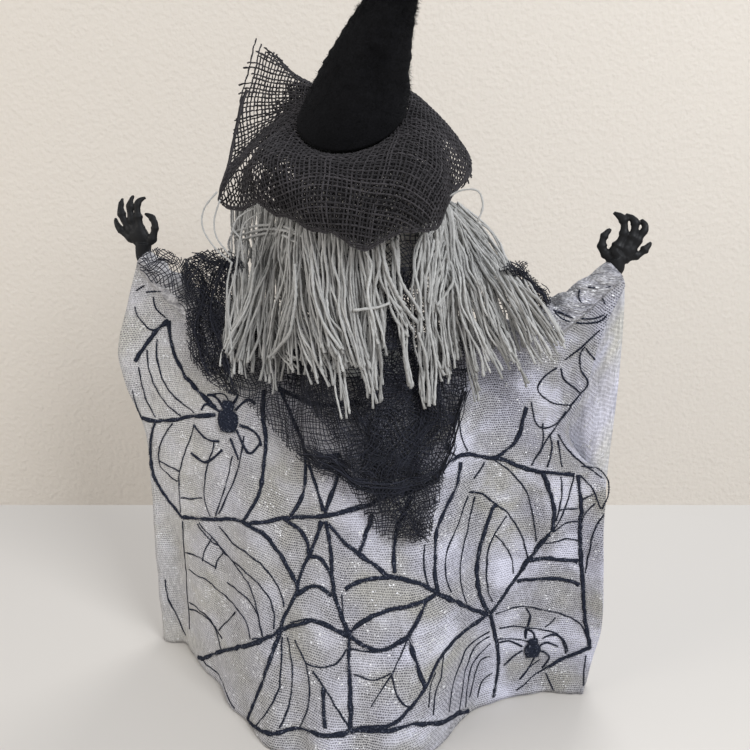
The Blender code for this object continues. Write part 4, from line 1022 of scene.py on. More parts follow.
GAUZE_LAYERS = (
    ("gauze_neck", 15, 0.0, 58,
     ((290, 225), (372, 222), (432, 212), (446, 240), (440, 300), (434, 345), (380, 352), (330, 352), (300, 320))),
    ("gauze_shoulder_left", 35, 2.6, 51,
     ((186, 262), (196, 252), (214, 250), (232, 256), (247, 262), (244, 300), (240, 340), (236, 372), (240, 394),
      (222, 388), (205, 372), (192, 352), (187, 322), (190, 296), (183, 275))),
    ("gauze_shoulder_left_over", -18, 4.4, 52,
     ((190, 268), (204, 254), (226, 257), (240, 268), (232, 300), (226, 335), (228, 366), (216, 372), (202, 356),
      (194, 330), (198, 300), (188, 282))),
    ("gauze_middle", 22, 1.5, 53,
     ((300, 330), (345, 372), (380, 366), (425, 376), (472, 366), (464, 400), (452, 440), (441, 478), (425, 486),
      (395, 490), (360, 482), (345, 456), (330, 430), (300, 400), (284, 380))),
    ("gauze_middle_over", -30, 3.0, 54,
     ((380, 260), (428, 250), (434, 300), (440, 372), (446, 410), (436, 446), (420, 472), (384, 478), (362, 470),
      (370, 430), (378, 380), (376, 300))),
    ("gauze_on_sleeve", 30, 3.0, 59,
     ((141, 252), (158, 246), (172, 250), (186, 257), (197, 262), (200, 310), (192, 330), (187, 312), (178, 297),
      (166, 286), (152, 280), (143, 268))),
    ("gauze_flap", 40, 2.6, 55,
     ((352, 476), (372, 482), (400, 484), (440, 472), (437, 510), (428, 541), (405, 532), (385, 514), (368, 498))),
    ("gauze_shoulder_right", 30, 3.4, 56,
     ((505, 261), (514, 259.5), (531, 261), (528.6, 265), (532, 274.6), (543, 282), (551, 292.5), (552, 305),
      (543, 309), (532, 300), (518, 290), (509, 272))),
)
GAUZE_FOLDS = (
    (((300, 452), (330, 462), (350, 476), (380, 486), (410, 484), (440, 474)), 26, 9, 3.0),
    (((440, 476), (450, 450), (458, 415), (468, 385)), 16, 6, 3.0),
    (((352, 400), (366, 430), (378, 460), (392, 484)), 12, 6, 2.6),
    (((430, 380), (424, 420), (412, 455), (398, 484)), 14, 7, 3.4),
    (((400, 250), (404, 300), (410, 350), (420, 400)), 14, 12, 3.0),
    (((190, 264), (206, 290), (200, 330), (216, 376)), 14, 6, 5.0),
    (((230, 258), (214, 300), (224, 350), (236, 388)), 14, 6, 5.4),
    (((196, 254), (216, 262), (238, 262)), 12, 4, 5.0),
    (((392, 488), (402, 505), (416, 522), (428, 538)), 8, 5, 3.4),
    (((509, 262), (524, 276), (540, 292), (548, 304)), 9, 4, 4.6),
)


def gauze_depth(x, z):
    return cape_depth(x, z) + 0.9 * ripple(x * 1.5, z * 0.6, 17, 31)


def neck_depth(x, z):
    return hair_depth(x, z) - 0.6


def gauze_piece(name, outline, degrees_turned, lift, seed, crumple, depth=gauze_depth):
    """A layer of gauze, woven inside its outline."""
    piece = weave(outline, depth, radians(degrees_turned), seed, crumple, lift).make(name, GAUZE)
    settle(piece, "black_gauze", "gauze_cape")


def make_cape():
    gauze_piece("gauze_cape_cloth", cape_outline(), 8, 0, 50, 1.4)
    for name, turned, lift, seed, pixels in GAUZE_LAYERS:
        depth = neck_depth if name == "gauze_neck" else gauze_depth
        drawn = seen(curve_through(pixels, 6, closed=True), depth)
        gauze_piece(name, drawn[:, (0, 2)], turned, lift, seed, 2.0, depth)


def make_folds():
    """Gathered folds of the gauze, as bundles of threads."""
    dice = np.random.default_rng(57)
    pile = Pile()
    for pixels, count, spread, lift in GAUZE_FOLDS:
        middle = curve_through(seen(pixels, gauze_depth), 1.6)
        share = np.linspace(0, 1, len(middle))
        for _ in range(count):
            off = dice.normal(0, spread * 0.2)
            wave = ripple(share * 60, np.zeros_like(share), 22, dice.integers(1 << 30)) * spread * 0.12
            path = middle.copy()
            path[:, 0] += off + wave
            path[:, 2] += dice.normal(0, spread * 0.2) + wave
            raised = lift * np.exp(-(off / spread * 3) ** 2) * dice.uniform(0.2, 1)
            path[:, 1] = -(gauze_depth(path[:, 0], path[:, 2]) + raised)
            first = dice.integers(0, max(len(path) // 4, 1))
            last = len(path) - dice.integers(0, max(len(path) // 4, 1))
            path = path[first:last]
            if len(path) < 5:
                continue
            widths = 0.25 * uneven(len(path), dice.integers(1 << 30), 0.3)
            pile.thread(path, widths, 3, tone=dice.uniform(0, 1))
    settle(pile.make("gauze_folds", GAUZE), "black_gauze", "gauze_cape")


make_cape()
make_folds()


# Hair: each lock's course down the photograph, its strands and its height over the lowest layer
HAIR_LOCKS = (
    (((238, 245), (232, 300), (226, 366)), 3, 1.0), (((250, 240), (240, 300), (237, 370)), 3, 2.0),
    (((262, 238), (252, 295), (232, 345)), 4, 3.0), (((272, 237), (258, 300), (248, 362)), 4, 2.0),
    (((285, 236), (262, 290), (240, 352)), 4, 4.5), (((278, 240), (268, 310), (272, 380)), 5, 1.5),
    (((292, 238), (277, 300), (262, 360)), 4, 3.0), (((300, 238), (292, 300), (277, 355)), 4, 4.5),
    (((298, 245), (290, 310), (294, 368)), 4, 1.5), (((262, 250), (275, 330), (296, 366)), 3, 0.5),
    (((290, 250), (300, 320), (318, 375)), 5, 1.0), (((303, 262), (312, 320), (332, 376)), 4, 1.5),
    (((306, 248), (318, 300), (332, 353)), 3, 3.0), (((320, 244), (322, 300), (330, 350)), 4, 3.0),
    (((312, 243), (326, 305), (345, 350)), 3, 4.0), (((336, 244), (337, 320), (346, 413)), 3, 1.0),
    (((330, 244), (335, 300), (350, 360)), 5, 2.5), (((342, 244), (345, 300), (359, 356)), 4, 3.5),
    (((352, 243), (352, 300), (366, 366)), 4, 2.5), (((340, 246), (352, 310), (375, 388)), 4, 1.0),
    (((362, 242), (372, 300), (380, 393)), 5, 1.5), (((372, 240), (376, 290), (383, 345)), 3, 3.0),
    (((384, 238), (385, 280), (408, 310)), 2, 2.5), (((394, 238), (398, 290), (412, 383)), 2, 1.5),
    (((375, 243), (392, 290), (418, 322)), 2, 2.0),
    (((444, 212), (419, 262), (428, 402)), 5, 1.5), (((447, 225), (432, 280), (430, 395)), 4, 3.0),
    (((450, 232), (437, 300), (448, 372)), 3, 4.5), (((449, 216), (444, 290), (448, 373)), 3, 2.5),
    (((449, 214), (449, 300), (453.6, 369)), 4, 3.5), (((450, 212), (460, 310), (475, 400)), 2, 1.0),
    (((450, 211), (461, 300), (478, 372)), 4, 2.5), (((450, 210), (466, 300), (490, 365)), 4, 3.5),
    (((450, 209), (474, 300), (505, 369)), 4, 2.5), (((450, 208), (480, 290), (514, 358)), 4, 3.5),
    (((450, 207), (487, 290), (528.6, 383.6)), 2, 1.0), (((450, 206), (494, 278), (535, 352)), 4, 2.5),
    (((451, 205), (500, 272), (545, 352)), 4, 3.0), (((451, 203), (482, 232), (508, 268), (561, 341)), 4, 2.0),
    (((451, 204), (478, 236), (503, 274), (558, 352)), 4, 1.5),
    (((451, 202), (486, 232), (507, 262), (525, 287), (543, 305), (561, 337)), 3, 3.0),
    (((451, 202), (474, 228), (496, 262), (530, 330)), 3, 3.6),
)


HAIR_UNDER_LEFT = tuple(
    (((240 + 9.5 * i, 234), (238 + 9.6 * i, 290), (234 + 9.9 * i, 352 + 9 * (i % 3))), 3, 0.2)
    for i in range(16))
HAIR_UNDER_RIGHT = tuple(
    (((450, 206 + 2 * (i % 3)), (446 + 6.4 * i, 280), (440 + 10 * i, 354 - 2 * i)), 4, 0.4)
    for i in range(12))
HAIR_PARTING = 430
YARN_STEP, LOOSE_STEP, FUZZ = 1.8, 1.4, 3
HAIR_LINE = ((232, 206), (262, 203), (290, 214), (330, 230), (365, 238), (400, 228), (425, 212), (445, 196))
LOOSE_STRANDS = (
    ((217, 192), (204, 209), (202.6, 227), (214, 247.5), (230, 262)),
    ((220, 200), (213, 219), (215.6, 237), (231, 256)),
    ((254, 208), (239, 217), (233.8, 229), (241.6, 239.7), (244, 262)),
    ((262, 212), (246, 222), (240, 238), (236, 270), (228, 300), (231, 330)),
    ((450, 196), (463, 190), (478, 191), (483, 206), (478, 222)),
    ((232, 262), (227, 290), (229, 325), (232, 350)),
)
CROSSING_STRANDS = (
    (((239, 236), (265, 229), (286, 229), (306, 235)), 5.2),
    (((243, 240), (268, 233), (290, 235), (303, 244)), 5.6),
    (((236, 232), (262, 225), (288, 226), (310, 236)), 4.6),
    (((356, 308), (382, 305), (393, 301)), 5.0),
    (((394, 240), (403, 275), (416, 300), (424, 318)), 4.6),
    (((398, 238), (402, 285), (404, 330), (411, 382)), 3.6),
    (((384, 240), (388, 268), (402, 296), (412, 312)), 5.0),
    (((447, 255), (453.6, 264), (455, 280), (448, 291), (437.5, 303)), 6.2),
    (((300, 262), (296, 300), (286, 340), (272, 354)), 6.4),
    (((300, 268), (300, 300), (294, 330), (276, 352)), 6.8),
    (((420, 330), (426, 350), (430, 380), (431, 402)), 5.5),
    (((436, 352), (442, 366), (446, 372)), 5.5),
)


def fuzz(pile, path, radius, count, dice):
    """Loose fibres that stand off a yarn."""
    pick = dice.integers(1, len(path) - 1, count)
    heading = unit(path[pick + 1] - path[pick - 1])
    off = unit(np.cross(heading, dice.normal(0, 1, (count, 3))))
    root = path[pick] + off * radius * 0.8
    tip = root + unit(off * 0.7 + heading) * dice.uniform(0.5, 1.8, count)[:, None]
    pile.fibres(root, np.cross(heading, off) * 0.06, tip, 0.75)


def yarn(pile, path, radius, dice, tone=0.6):
    """Soft two-ply yarn along a path."""
    widths = radius * uneven(len(path), dice.integers(1 << 30), 0.14)
    widths[-2:] *= 1.15
    pile.thread(path, widths, 6, (0, 1, 0.2), tone, lobes=2, twist=dice.uniform(0.8, 1.2), lobe_height=0.3,
                turn=dice.uniform(0, 2 * pi))
    fuzz(pile, path, radius, FUZZ * len(path), dice)


def waved(path, amount, dice):
    """A path with soft waves that grow from its start."""
    share = np.linspace(0, 1, len(path))
    still = np.zeros_like(share)
    length = np.linalg.norm(np.diff(path, axis=0), axis=1).sum()
    path[:, 0] += amount * ripple(share * length, still, 26, dice.integers(1 << 30)) * ease(share * 4)
    path[:, 1] -= amount * 0.8 * ripple(share * length, still, 22, dice.integers(1 << 30))
    return path


def lock_strand(pixels, place, gather, lift, dice):
    """One strand's path, beside the middle of its lock."""
    start, end = place * 2.0 + dice.normal(0, 2.4), place * gather + dice.normal(0, 2.4)
    drop = dice.normal(0, 7)
    moved = []
    for i, (px, py) in enumerate(pixels):
        share = i / (len(pixels) - 1)
        px = px + mix(start, end, share)
        if i == 0 and pixels[0][0] < HAIR_PARTING:
            py = along(HAIR_LINE, px)
        moved.append((px, py + drop * share ** 3))
    path = curve_through(seen(curve_through(moved, 12), hair_depth), YARN_STEP)
    path[:, 1] -= lift + dice.uniform(0, 1.6)
    return path


def make_hair():
    """The back's locks, strands that cross them, loose ones, and two layers round each side."""
    left, right = Pile(), Pile()
    dice = np.random.default_rng(77)

    def side_of(pixels):
        return left if pixels[0][0] < HAIR_PARTING else right

    for pixels, strands, lift in HAIR_LOCKS + HAIR_UNDER_LEFT + HAIR_UNDER_RIGHT:
        gather = dice.uniform(0.8, 2.2)
        for strand in range(strands + 2):
            path = lock_strand(pixels, strand - (strands + 1) / 2, gather, lift, dice)
            # Painted shade: strands of the under layers get dark tones for the shade under the locks over them;
            # the others' tones vary at random
            tone = dice.uniform(0, 0.25) if lift < 0.5 else dice.beta(1.7, 1.5)
            yarn(side_of(pixels), waved(path, 0.9, dice), dice.uniform(0.36, 0.58), dice, tone)
    for pixels, lift in CROSSING_STRANDS:
        path = curve_through(seen(curve_through(pixels, 10), hair_depth), LOOSE_STEP)
        path[:, 1] -= lift
        yarn(side_of(pixels), waved(path, 0.4, dice), 0.6, dice)
    for pixels in LOOSE_STRANDS:
        depth = -26 if side_of(pixels) is left else -34
        path = curve_through([at_depth(px, py, depth) for px, py in pixels], LOOSE_STEP)
        yarn(side_of(pixels), waved(path, 0.3, dice), 0.36, dice)
    for angle in np.concatenate((np.linspace(-112, -78, 15), np.linspace(46, 108, 22))):
        for layer in (0, 1):
            turned = radians(angle + dice.normal(0, 1.5))
            z = np.arange(CROWN - 15, CROWN - 62 - dice.uniform(0, 12), -2.0)
            radius = hair_radius(z) + 0.4 + layer * 1.3
            spread = turned * (1 + 0.05 * ease((CROWN - 30 - z) / 40))
            path = np.stack((radius * np.sin(spread), -radius * np.cos(spread), z), -1)
            yarn(left if angle < 0 else right, waved(path, 0.6, dice), dice.uniform(0.5, 0.7), dice,
                 dice.uniform(0.2, 0.8))
    nodes = [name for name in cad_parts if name.startswith("hair_")]
    settle(left.make("hair_left", YARN), "grey_yarn", *(node for node in nodes if "right" not in node))
    settle(right.make("hair_right", YARN), "grey_yarn", *(node for node in nodes if "right" in node))


make_hair()


# Hat
HAT_NORMAL = unit(np.array((sin(HAT_TILT_SIDE), -sin(HAT_TILT_BACK), cos(HAT_TILT_BACK))))
HAT_ROWS, HAT_SIDES = 64, 90


def hat_ring(share, turn):
    """Points round the cone, from its base at share 0 to its tip at 1."""
    share, turn = np.broadcast_arrays(np.asarray(share, float), np.asarray(turn, float))
    lean = np.clip(share * 2.5, 0, 1)[..., None]
    axis = unit(mix(HAT_NORMAL, unit(HAT_LEAN), lean))
    first = unit(np.array((1.0, 0, 0)) - axis * axis[..., :1])
    second = np.cross(axis, first)
    radius = mix(HAT_RADIUS, HAT_TIP_RADIUS, share ** 0.95)[..., None]
    radius = radius * (1 - 0.17 * ease(share * 2.2)[..., None])
    return (HAT_BASE + HAT_LEAN * share[..., None]
            + (first * np.cos(turn)[..., None] + second * np.sin(turn)[..., None]) * radius)


def felt_hairs(pile, number):
    """Bent fibres that stand off the cone, each of two triangles."""
    dice = np.random.default_rng(63)
    share, turn = dice.uniform(0.02, 1, number) ** 0.8, dice.uniform(0, 2 * pi, number)
    root = hat_ring(share, turn)
    heading = unit(root - (HAT_BASE + HAT_LEAN * share[:, None]))
    heading = unit(heading + dice.normal(0, 0.8, (number, 3)))
    length = dice.uniform(0.5, 2.0, number)[:, None]
    side = unit(np.cross(heading, dice.normal(0, 1, (number, 3)))) * 0.06
    bend = dice.normal(0, 0.25, (number, 3))
    sunk = root - heading * 0.5
    elbow = root + heading * length * 0.6 + bend * 0.4 + side * 0.6
    hairs = np.stack((sunk - side, sunk + side, elbow, root + heading * length + bend), 1)
    base = np.arange(number)[:, None] * 4
    pile.add(hairs.reshape(-1, 3), None, np.concatenate((base + (0, 1, 2), base + (0, 2, 3))))


def make_hat():
    """Stuffed felt cone with soft bumps."""
    shares = np.linspace(0, 1, HAT_ROWS)
    turns = np.arange(HAT_SIDES) * 2 * pi / HAT_SIDES
    points = hat_ring(shares[:, None], turns[None, :])
    outward = unit(points - points.mean(1, keepdims=True))
    bumps = 0.5 * ripple(points[..., 0] + points[..., 1], points[..., 2], 16, 61)
    bumps = bumps + 0.25 * ripple(points[..., 0] - points[..., 1], points[..., 2], 5, 62)
    points = points + outward * (bumps * np.minimum(shares * 6, 1)[:, None])[..., None]
    ends = np.stack((points[0].mean(0), points[-1].mean(0) + unit(HAT_LEAN) * 1.2))
    pile = Pile()
    pile.add(np.concatenate((points.reshape(-1, 3), ends)), grid_faces(HAT_ROWS, HAT_SIDES, wrap=True),
             end_caps(HAT_ROWS, HAT_SIDES))
    felt_hairs(pile, 10000)
    settle(pile.make("hat_felt", FELT), "black_felt", "hat_cone")


make_hat()


# Brim: its edge as pixels with the depth of each, and two points out of sight over the crown
LEFT_FLAP = ((274, 56, 14), (252, 84, 10), (239, 120, 5), (231, 156, -1), (221, 186, -8), (219, 204, -12),
             (236, 211, -19), (256, 208, -28), (276, 210, -37))
LOWER_EDGE = ((291, 222, -42), (310, 231, -45), (332, 239, -47), (365, 244, -48), (398, 239, -46),
              (420, 232, -41))
RIGHT_FLAP = ((438, 224, -34), (448, 204, -24), (466, 184, -12), (472, 168, -3), (468, 152, 6),
              (448, 128, 15), (424, 111, 24), (404, 102, 34))
BRIM_KNOTS = tuple(
    tuple(at_depth(*place) - (0, 0, CROWN)) for place in LEFT_FLAP + LOWER_EDGE + RIGHT_FLAP) + BRIM_FRONT
FRAY, TORN_CORNER, DOME_HEADING = radians(150), radians(2), radians(76)
BRIM_TURNS, BRIM_STEPS, BRIM_END = 181, 69, 60
BRIM_FLAT, FOLD_FLAT, FOLD_DROP = (0.135, 0.135), (0.13, 0.11), 1.8


def head_top(x, y):
    return HEAD_HEIGHT + HEAD_HALF_HEIGHT * np.sqrt(np.maximum(1 - (x * x + y * y) / HEAD_RADIUS ** 2, 0))


def turned_from(heading, place):
    """Angle from a place to a heading, between half a turn either way."""
    return (heading - place + pi) % (2 * pi) - pi


def brim_surface(headings, steps):
    """Points of the brim by heading from the hat's middle and share of the way out."""
    knots = np.array(BRIM_KNOTS, float) + (0, 0, CROWN)
    edge = curve_through(knots, 0.5, closed=True)
    edge_heading = np.unwrap(np.arctan2(edge[:, 1] - HAT_BASE[1], edge[:, 0] - HAT_BASE[0]))
    if edge_heading[-1] < edge_heading[0]:
        edge, edge_heading = edge[::-1], edge_heading[::-1]
    wanted = edge_heading[0] + (headings - edge_heading[0]) % (2 * pi)
    span = np.concatenate((edge_heading, (edge_heading[0] + 2 * pi,)))
    closed = np.concatenate((edge, edge[:1]))
    rim = np.stack([np.interp(wanted, span, closed[:, k]) for k in range(3)], -1)
    ring = hat_ring(0, headings) - HAT_NORMAL * 1.0
    middle = np.array((0, 0, CROWN + 1.2))
    outward = rim - ring
    outward[:, 2] = 0
    outward = unit(outward)
    behind = ease((np.cos(headings + pi / 2) + 0.35) / 1.0)[:, None]
    first = mix(ring, rim, 0.15) + outward * mix(5, 17, behind) + (0, 0, 1) * mix(1, 3, behind)
    second = mix(ring, rim, mix(0.6, 0.52, behind)) + outward * mix(4, 16, behind)
    t = steps[None, :, None]
    under = 0.3
    inner = mix(middle, ring[:, None], np.minimum(t / under, 1))
    out = np.maximum((t - under) / (1 - under), 0)
    within = np.minimum(out, 1)
    a, b, c, d = (p[:, None] for p in (ring, first, second, rim))
    outer = (a * (1 - within) ** 3 + 3 * b * within * (1 - within) ** 2 + 3 * c * within ** 2 * (1 - within)
             + d * within ** 3)
    outer = outer + unit(d - c) * (out - within) * 60
    points = np.where(t <= under, inner, outer)
    x, y = points[..., 0], points[..., 1]
    turn = headings[:, None] * 40
    reach = np.maximum(out[..., 0], 0)
    points[..., 2] += 1.5 * reach * ripple(turn, reach * 30, 26, 93)
    points[..., 1] += 1.5 * reach * ripple(turn, reach * 30, 30, 94)
    over = head_top(x, y) + 1.3
    high = points[..., 2]
    points[..., 2] = np.where(x ** 2 + y ** 2 < HEAD_RADIUS ** 2, np.maximum(high, over), high)
    return points


class Flat:
    """The brim's cloth laid out flat, and the way back to its hanging shape."""

    def __init__(self, drop=0.0):
        self.headings = np.linspace(-pi, pi, BRIM_TURNS)
        surface = brim_surface(self.headings, np.arange(BRIM_STEPS) / BRIM_END)
        normals = np.cross(np.gradient(surface, axis=0), np.gradient(surface, axis=1))
        normals = unit(normals + 1e-9)
        self.normals = normals * np.where(normals[:, 20:, 2].mean() < 0, -1, 1)
        self.surface = surface - self.normals * drop
        steps = np.linalg.norm(np.diff(self.surface, axis=1), axis=2)
        self.lengths = np.concatenate((np.zeros((BRIM_TURNS, 1)), np.cumsum(steps, axis=1)), 1)
        self.rim = self.lengths[:, BRIM_END]
        band = slice(30, BRIM_END)
        turns = np.linalg.norm(np.diff(self.surface[:, band], axis=0), axis=2)
        turns = (turns / ((self.lengths[1:, band] + self.lengths[:-1, band]) / 2)).mean(1)
        total = np.concatenate(((0,), np.cumsum(turns)))
        self.fullness = total[-1] / (2 * pi)
        self.angles = total / total[-1] * 2 * pi
        back = np.interp(-pi / 2, self.headings, self.angles)
        self.angles = self.angles - back - pi / 2

    def lay(self, u, v):
        """Points, normals, distance inside the rim, heading and share out of flat places."""
        angle = np.arctan2(v, u)
        angle = self.angles[0] + (angle - self.angles[0]) % (2 * pi)
        reach = np.hypot(u, v)
        column = np.interp(angle, self.angles, np.arange(BRIM_TURNS))
        low = np.clip(np.floor(column).astype(int), 0, BRIM_TURNS - 2)
        share = (column - low)[:, None]
        table = mix(self.lengths[low], self.lengths[low + 1], share)
        step = np.array([np.interp(r, row, np.arange(BRIM_STEPS)) for r, row in zip(reach, table)])
        row = np.clip(np.floor(step).astype(int), 0, BRIM_STEPS - 2)
        down = (step - row)[:, None]

        def blend(values):
            return mix(mix(values[low, row], values[low + 1, row], share),
                       mix(values[low, row + 1], values[low + 1, row + 1], share), down)
        return (blend(self.surface), unit(blend(self.normals)), table[:, BRIM_END] - reach,
                np.interp(column, np.arange(BRIM_TURNS), self.headings), step / BRIM_END)


def sacking(flat, turn, pitch, radius, seed, keep, step, sides):
    """A pile of over-and-under threads of coarse cloth on the brim, where keep allows them."""
    pile = Pile()
    dice = np.random.default_rng(seed)
    reach = flat.lengths.max() + 2
    run = np.arange(-reach, reach, step)
    for family in (0, 1):
        lines = np.arange(-reach, reach, pitch)
        lines = lines + dice.normal(0, 0.1 * pitch, len(lines))
        for number, line in enumerate(lines):
            u, v = (run, np.full_like(run, line)) if family == 0 else (np.full_like(run, line), run)
            u, v = u * cos(turn) - v * sin(turn), u * sin(turn) + v * cos(turn)
            u, v = u + 0.6 * ripple(u, v, 24, seed + 1), v + 0.6 * ripple(u, v, 24, seed + 2)
            places, outward, inside_rim, heading, share = flat.lay(u, v)
            kept = keep(inside_rim, heading, share, dice.uniform(0, 1))
            over = np.cos(pi * (run / pitch + number + family)) * radius * 0.75
            for first, last in runs(kept):
                if last - first < 3:
                    continue
                path = places[first:last] + outward[first:last] * over[first:last, None]
                if np.linalg.norm(np.diff(path, axis=0), axis=1).max() > step * 4:
                    continue
                widths = radius * uneven(len(path), seed + number + 500 * family, 0.35)
                pile.thread(path, widths, sides, (0.3, 0.2, 1), dice.beta(1.2, 1.8), lobes=2, twist=1.3,
                            lobe_height=0.22)
    return pile


def to_rim(inside_rim, heading, share, luck):
    """The brim's cloth ends at its rim, with loose ends at the fray and the torn corner."""
    frayed = np.exp(-turned_from(heading, FRAY) ** 2 / 0.03)
    corner = np.exp(-turned_from(heading, TORN_CORNER) ** 2 / 0.02)
    return inside_rim > 0.3 - luck * (0.4 + 10 * frayed * luck + 2.5 * corner)


def under_dome(inside_rim, heading, share, luck):
    """The second layer lies behind, under the dome, and near the cone."""
    behind = np.cos(heading + DOME_HEADING) > 0.2 + 0.3 * luck
    near = share < 0.56 + 0.14 * luck
    return (behind | near) & (inside_rim > 1.2 + 2.0 * luck) & (share > 0.12)


def add_rim_threads(pile, flat):
    """Two threads along the rim, broken at the fray."""
    turned = np.linspace(-pi, pi, 1000)
    columns = np.arange(BRIM_TURNS)
    column = np.interp(turned, flat.headings, columns)
    angle = np.interp(column, columns, flat.angles)
    dice = np.random.default_rng(97)
    for inset in (0.4, 1.3):
        reach = np.interp(column, columns, flat.rim) - inset + 0.35 * ripple(turned * 40, turned, 7, 98)
        edge, _, _, heading, _ = flat.lay(np.cos(angle) * reach, np.sin(angle) * reach)
        for first, last in runs(np.abs(turned_from(heading, FRAY)) > 0.12):
            path = edge[first:last]
            if len(path) < 6:
                continue
            widths = 0.42 * uneven(len(path), 99, 0.4)
            pile.thread(path, widths, 5, (0.3, 0.2, 1), dice.uniform())


def make_brim():
    """Coarse open sacking, its threads laid over the brim's shape from a flat cut."""
    flat = Flat()
    cloth = sacking(flat, 0.0, 1.75, 0.34, 900, to_rim, 1.15, 5)
    add_rim_threads(cloth, flat)
    brim = settle(cloth.make("hat_brim_sacking", SACKING), "dark_sacking", "hat_brim")
    lining = sacking(Flat(FOLD_DROP), radians(33), 1.5, 0.46, 1900, under_dome, 1.4, 4)
    layer = settle(lining.make("hat_brim_fold", SACKING), "dark_sacking", "hat_brim")


make_brim()


# Hands
BONE_SIDES, HAND_VOXEL = 14, 0.38
RIGHT_HEEL, LEFT_HEEL = (614.6, 258), (143.5, 243)
RIGHT_FINGERS = (
    ((614, 259), (607, 255), (602.2, 246.9), (604.2, 236.4), (610.8, 228.8)),
    ((615, 258), (615.6, 250.8), (623.3, 235.5), (623.3, 220.2), (613.7, 212.5)),
    ((616, 258), (624.2, 250.8), (632.8, 235.5), (634.8, 222), (625.8, 214)),
    ((617, 258), (630, 250.8), (639.5, 237.4), (645.3, 227.8), (641.4, 219.2)),
    ((617, 260), (627, 257.5), (638.6, 254.6), (647.2, 247), (651, 242.2)))
LEFT_FINGERS = (
    ((143, 243), (128, 236), (118.2, 226.3), (115.4, 217.9)),
    ((142, 242), (127.5, 226.3), (121, 210.9), (122.5, 198.2)),
    ((142, 242), (133.7, 226.3), (130.2, 210.9), (130.9, 201), (133.7, 195.4)),
    ((143, 242), (139.3, 224.9), (137.2, 208), (139.3, 201), (145.6, 197.5)),
    ((145, 244), (151.9, 239), (155, 226.3), (151.9, 217.9), (144.9, 213.7)))


def make_hand(side, heel_pixel, fingers, node):
    """Bony hand: a cuff in the sleeve, a palm of flat bones and knuckled fingers."""
    wrist = np.array((side * HALF_SPAN, 0, ARM_HEIGHT + WRIST_RISE))
    level, rise = sleeve_axis(side * np.array(HALF_SPAN))
    axis = np.array((float(level), 0, float(rise))) * side
    heel = at_depth(*heel_pixel, 0)
    dice = np.random.default_rng(31)
    pile = Pile()

    cuff = curve_through((wrist - axis * 4.5, wrist, heel), 0.5)
    pile.thread(cuff, mix(3.3, 3.6, np.linspace(0, 1, len(cuff))), BONE_SIDES)
    middle = np.mean([at_depth(*finger[1], 0) for finger in fingers], axis=0)
    palm = curve_through((heel, mix(heel, middle, 0.6), middle), 0.4)
    pile.thread(palm, 3.4 + 1.3 * np.sin(np.linspace(0.2, pi * 0.8, len(palm))), BONE_SIDES, flat=0.6)
    for finger in fingers:
        last = len(finger) - 1
        joints = [at_depth(px, py, 2.5 * (i / last) ** 2) for i, (px, py) in enumerate(finger)]
        path = curve_through(joints, 0.4)
        share = np.linspace(0, 1, len(path))
        knuckles = sum(0.3 * np.exp(-((share - i / last) * last / 0.24) ** 2) for i in range(1, last))
        rough = uneven(len(path), dice.integers(1 << 30), 0.12)
        nail = 1 - 0.45 * ease((share - 0.86) / 0.14)
        pile.thread(path, mix(2.55, 1.3, share) * (0.84 + knuckles) * rough * nail, BONE_SIDES, flat=0.85)
    hand = pile.make("hand_bones_" + node.split("_")[1], PLASTIC)
    join = hand.modifiers.new("join", "REMESH")
    join.mode, join.voxel_size, join.use_smooth_shade = "VOXEL", HAND_VOXEL * MM, True
    settle(hand, "black_plastic", node)


make_hand(1, RIGHT_HEEL, RIGHT_FINGERS, "hand_right")
make_hand(-1, LEFT_HEEL, LEFT_FINGERS, "hand_left")


# Head and kept nodes
DOWEL_BORE, BORE_DEPTH = 4.3, 22.3
HEAD_RINGS, HEAD_SIDES = 56, 120


def make_head():
    """Muslin drawn over a stuffed egg, gathered where it is tied at the neck."""
    base = HEAD_HEIGHT - HEAD_HALF_HEIGHT
    low = -sqrt(1 - (DOWEL_BORE / HEAD_RADIUS) ** 2)
    rise = np.sin(np.linspace(np.arcsin(low), pi / 2 - 0.02, HEAD_RINGS))
    heights = HEAD_HEIGHT + HEAD_HALF_HEIGHT * rise
    rings = [(0.05, base + BORE_DEPTH), (DOWEL_BORE, base + BORE_DEPTH)]
    rings += [(float(head_radius(z)), float(z)) for z in heights] + [(0.05, CROWN - 0.01)]
    radius, z = np.array(rings).T
    turn = np.arange(HEAD_SIDES) * 2 * pi / HEAD_SIDES
    r, angle, high = radius[:, None], turn[None, :], z[:, None]
    pleat = np.sin(angle * 22 + 2.0 * np.sin(angle * 3)) * 0.5 + np.sin(angle * 37) * 0.25
    outer = np.zeros_like(radius)
    outer[3:-1] = 1
    low_down = ease((base + 20 - high) / 14) * outer[:, None]
    r = r + pleat * low_down * 0.8 - 0.3 * outer[:, None] * low_down
    r = r + 0.12 * outer[:, None] * ripple(angle * 30, high, 12, 71)
    points = np.stack((r * np.cos(angle), r * np.sin(angle), high + 0 * angle), -1)
    pile = Pile()
    pile.add(points.reshape(-1, 3), grid_faces(len(rings), HEAD_SIDES, wrap=True))
    settle(pile.make("head_muslin", muslin_paint()), "muslin", "head")


make_head()
for node, paint in (("body_cone", foam_paint()), ("neck_dowel", wood_paint()), ("arm_wire", wire_paint())):
    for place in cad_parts[node].material_slots:
        place.material = paint


# Stage, camera and light
FLOOR_DEPTH, FLOOR_BEYOND, FLOOR_NEAR = 518.7, 2500, 3000
WALL_SIZE = 1500


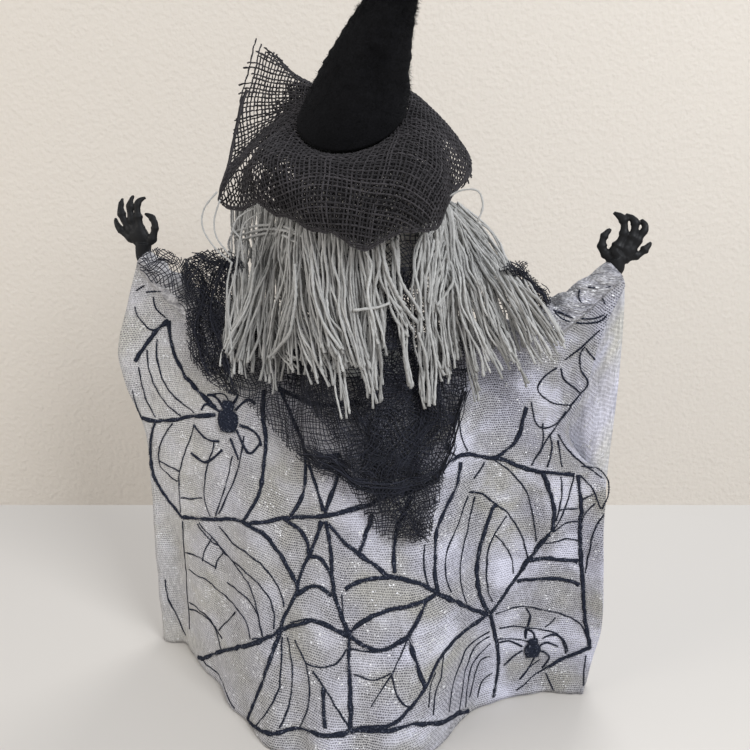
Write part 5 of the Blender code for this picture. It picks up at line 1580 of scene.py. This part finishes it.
def wall_paint():
    """Rough plaster that shows on its front side alone."""
    paint = Paint("wall", (0.655, 0.605, 0.54), 0.95)
    paint.bump(paint.noise(paint.place(), 3.0, 2, 0.45), 1.6, 0.6)
    clear = paint.node("BsdfTransparent")
    facing = paint.node("NewGeometry").outputs["Backfacing"]
    join = paint.node("MixShader")
    paint.put(join, 0, facing)
    paint.links.new(paint.shader.outputs[0], join.inputs[1])
    paint.links.new(clear.outputs[0], join.inputs[2])
    paint.links.new(join.outputs[0], paint.nodes["Material Output"].inputs[0])
    return paint.material


def floor_paint():
    paint = Paint("floor", (0.6, 0.57, 0.53), 0.55)
    paint.bump(paint.noise(paint.place(), 14, 2), 0.3, 0.1)
    return paint.material


def make_stage():
    forward = np.array((-sin(TURN), cos(TURN), 0))
    right = np.array((cos(TURN), sin(TURN), 0))
    foot = np.array((CAMERA[0], CAMERA[1], 0)) + forward * FLOOR_DEPTH
    near, far, top = foot - forward * FLOOR_NEAR, forward * FLOOR_BEYOND, np.array((0, 0, WALL_SIZE))
    wide, tall = right * FLOOR_BEYOND, right * WALL_SIZE
    for name, corners, paint in (
            ("floor", (near - wide, near + wide, foot + wide + far, foot - wide + far), floor_paint()),
            ("wall", (foot - tall, foot + tall, foot + tall + top, foot - tall + top), wall_paint())):
        pile = Pile()
        pile.add(np.array(corners), np.array([[0, 1, 2, 3]]))
        made = pile.make(name, paint, smooth=False)
        if name == "wall":
            made.visible_diffuse = False
            made.visible_glossy = False
            made.visible_shadow = False


def make_camera():
    data = bpy.data.cameras.new("photo_camera")
    data.lens, data.sensor_width = 36, 36
    data.clip_start = 0.01
    camera = bpy.data.objects.new("photo_camera", data)
    camera.location = CAMERA * MM
    camera.rotation_euler = (pi / 2 - PITCH, 0, TURN)
    bpy.context.scene.collection.objects.link(camera)
    bpy.context.scene.camera = camera


def make_light():
    world = bpy.data.worlds.new("studio")
    world.use_nodes = True
    world.node_tree.nodes["Background"].inputs[0].default_value = (0.95, 0.96, 1, 1)
    world.node_tree.nodes["Background"].inputs[1].default_value = 0.5
    bpy.context.scene.world = world
    for name, place, size, power, colour in (
            ("key", (620, -520, 760), 450, 8.5, (0.93, 0.96, 1)),
            ("fill", (-700, -450, 520), 600, 3.0, (1, 0.96, 0.9)),
            ("rim", (150, 650, 750), 500, 3.0, (1, 1, 1))):
        data = bpy.data.lights.new(name, "AREA")
        data.size = size * MM
        data.energy = power
        data.color = colour
        lamp = bpy.data.objects.new(name, data)
        lamp.location = Vector(place) * MM
        lamp.rotation_euler = (Vector((0, 0, 140)) - Vector(place)).to_track_quat("-Z", "Y").to_euler()
        bpy.context.scene.collection.objects.link(lamp)
    bpy.context.scene.view_settings.view_transform = "Standard"


make_stage()
make_camera()
make_light()
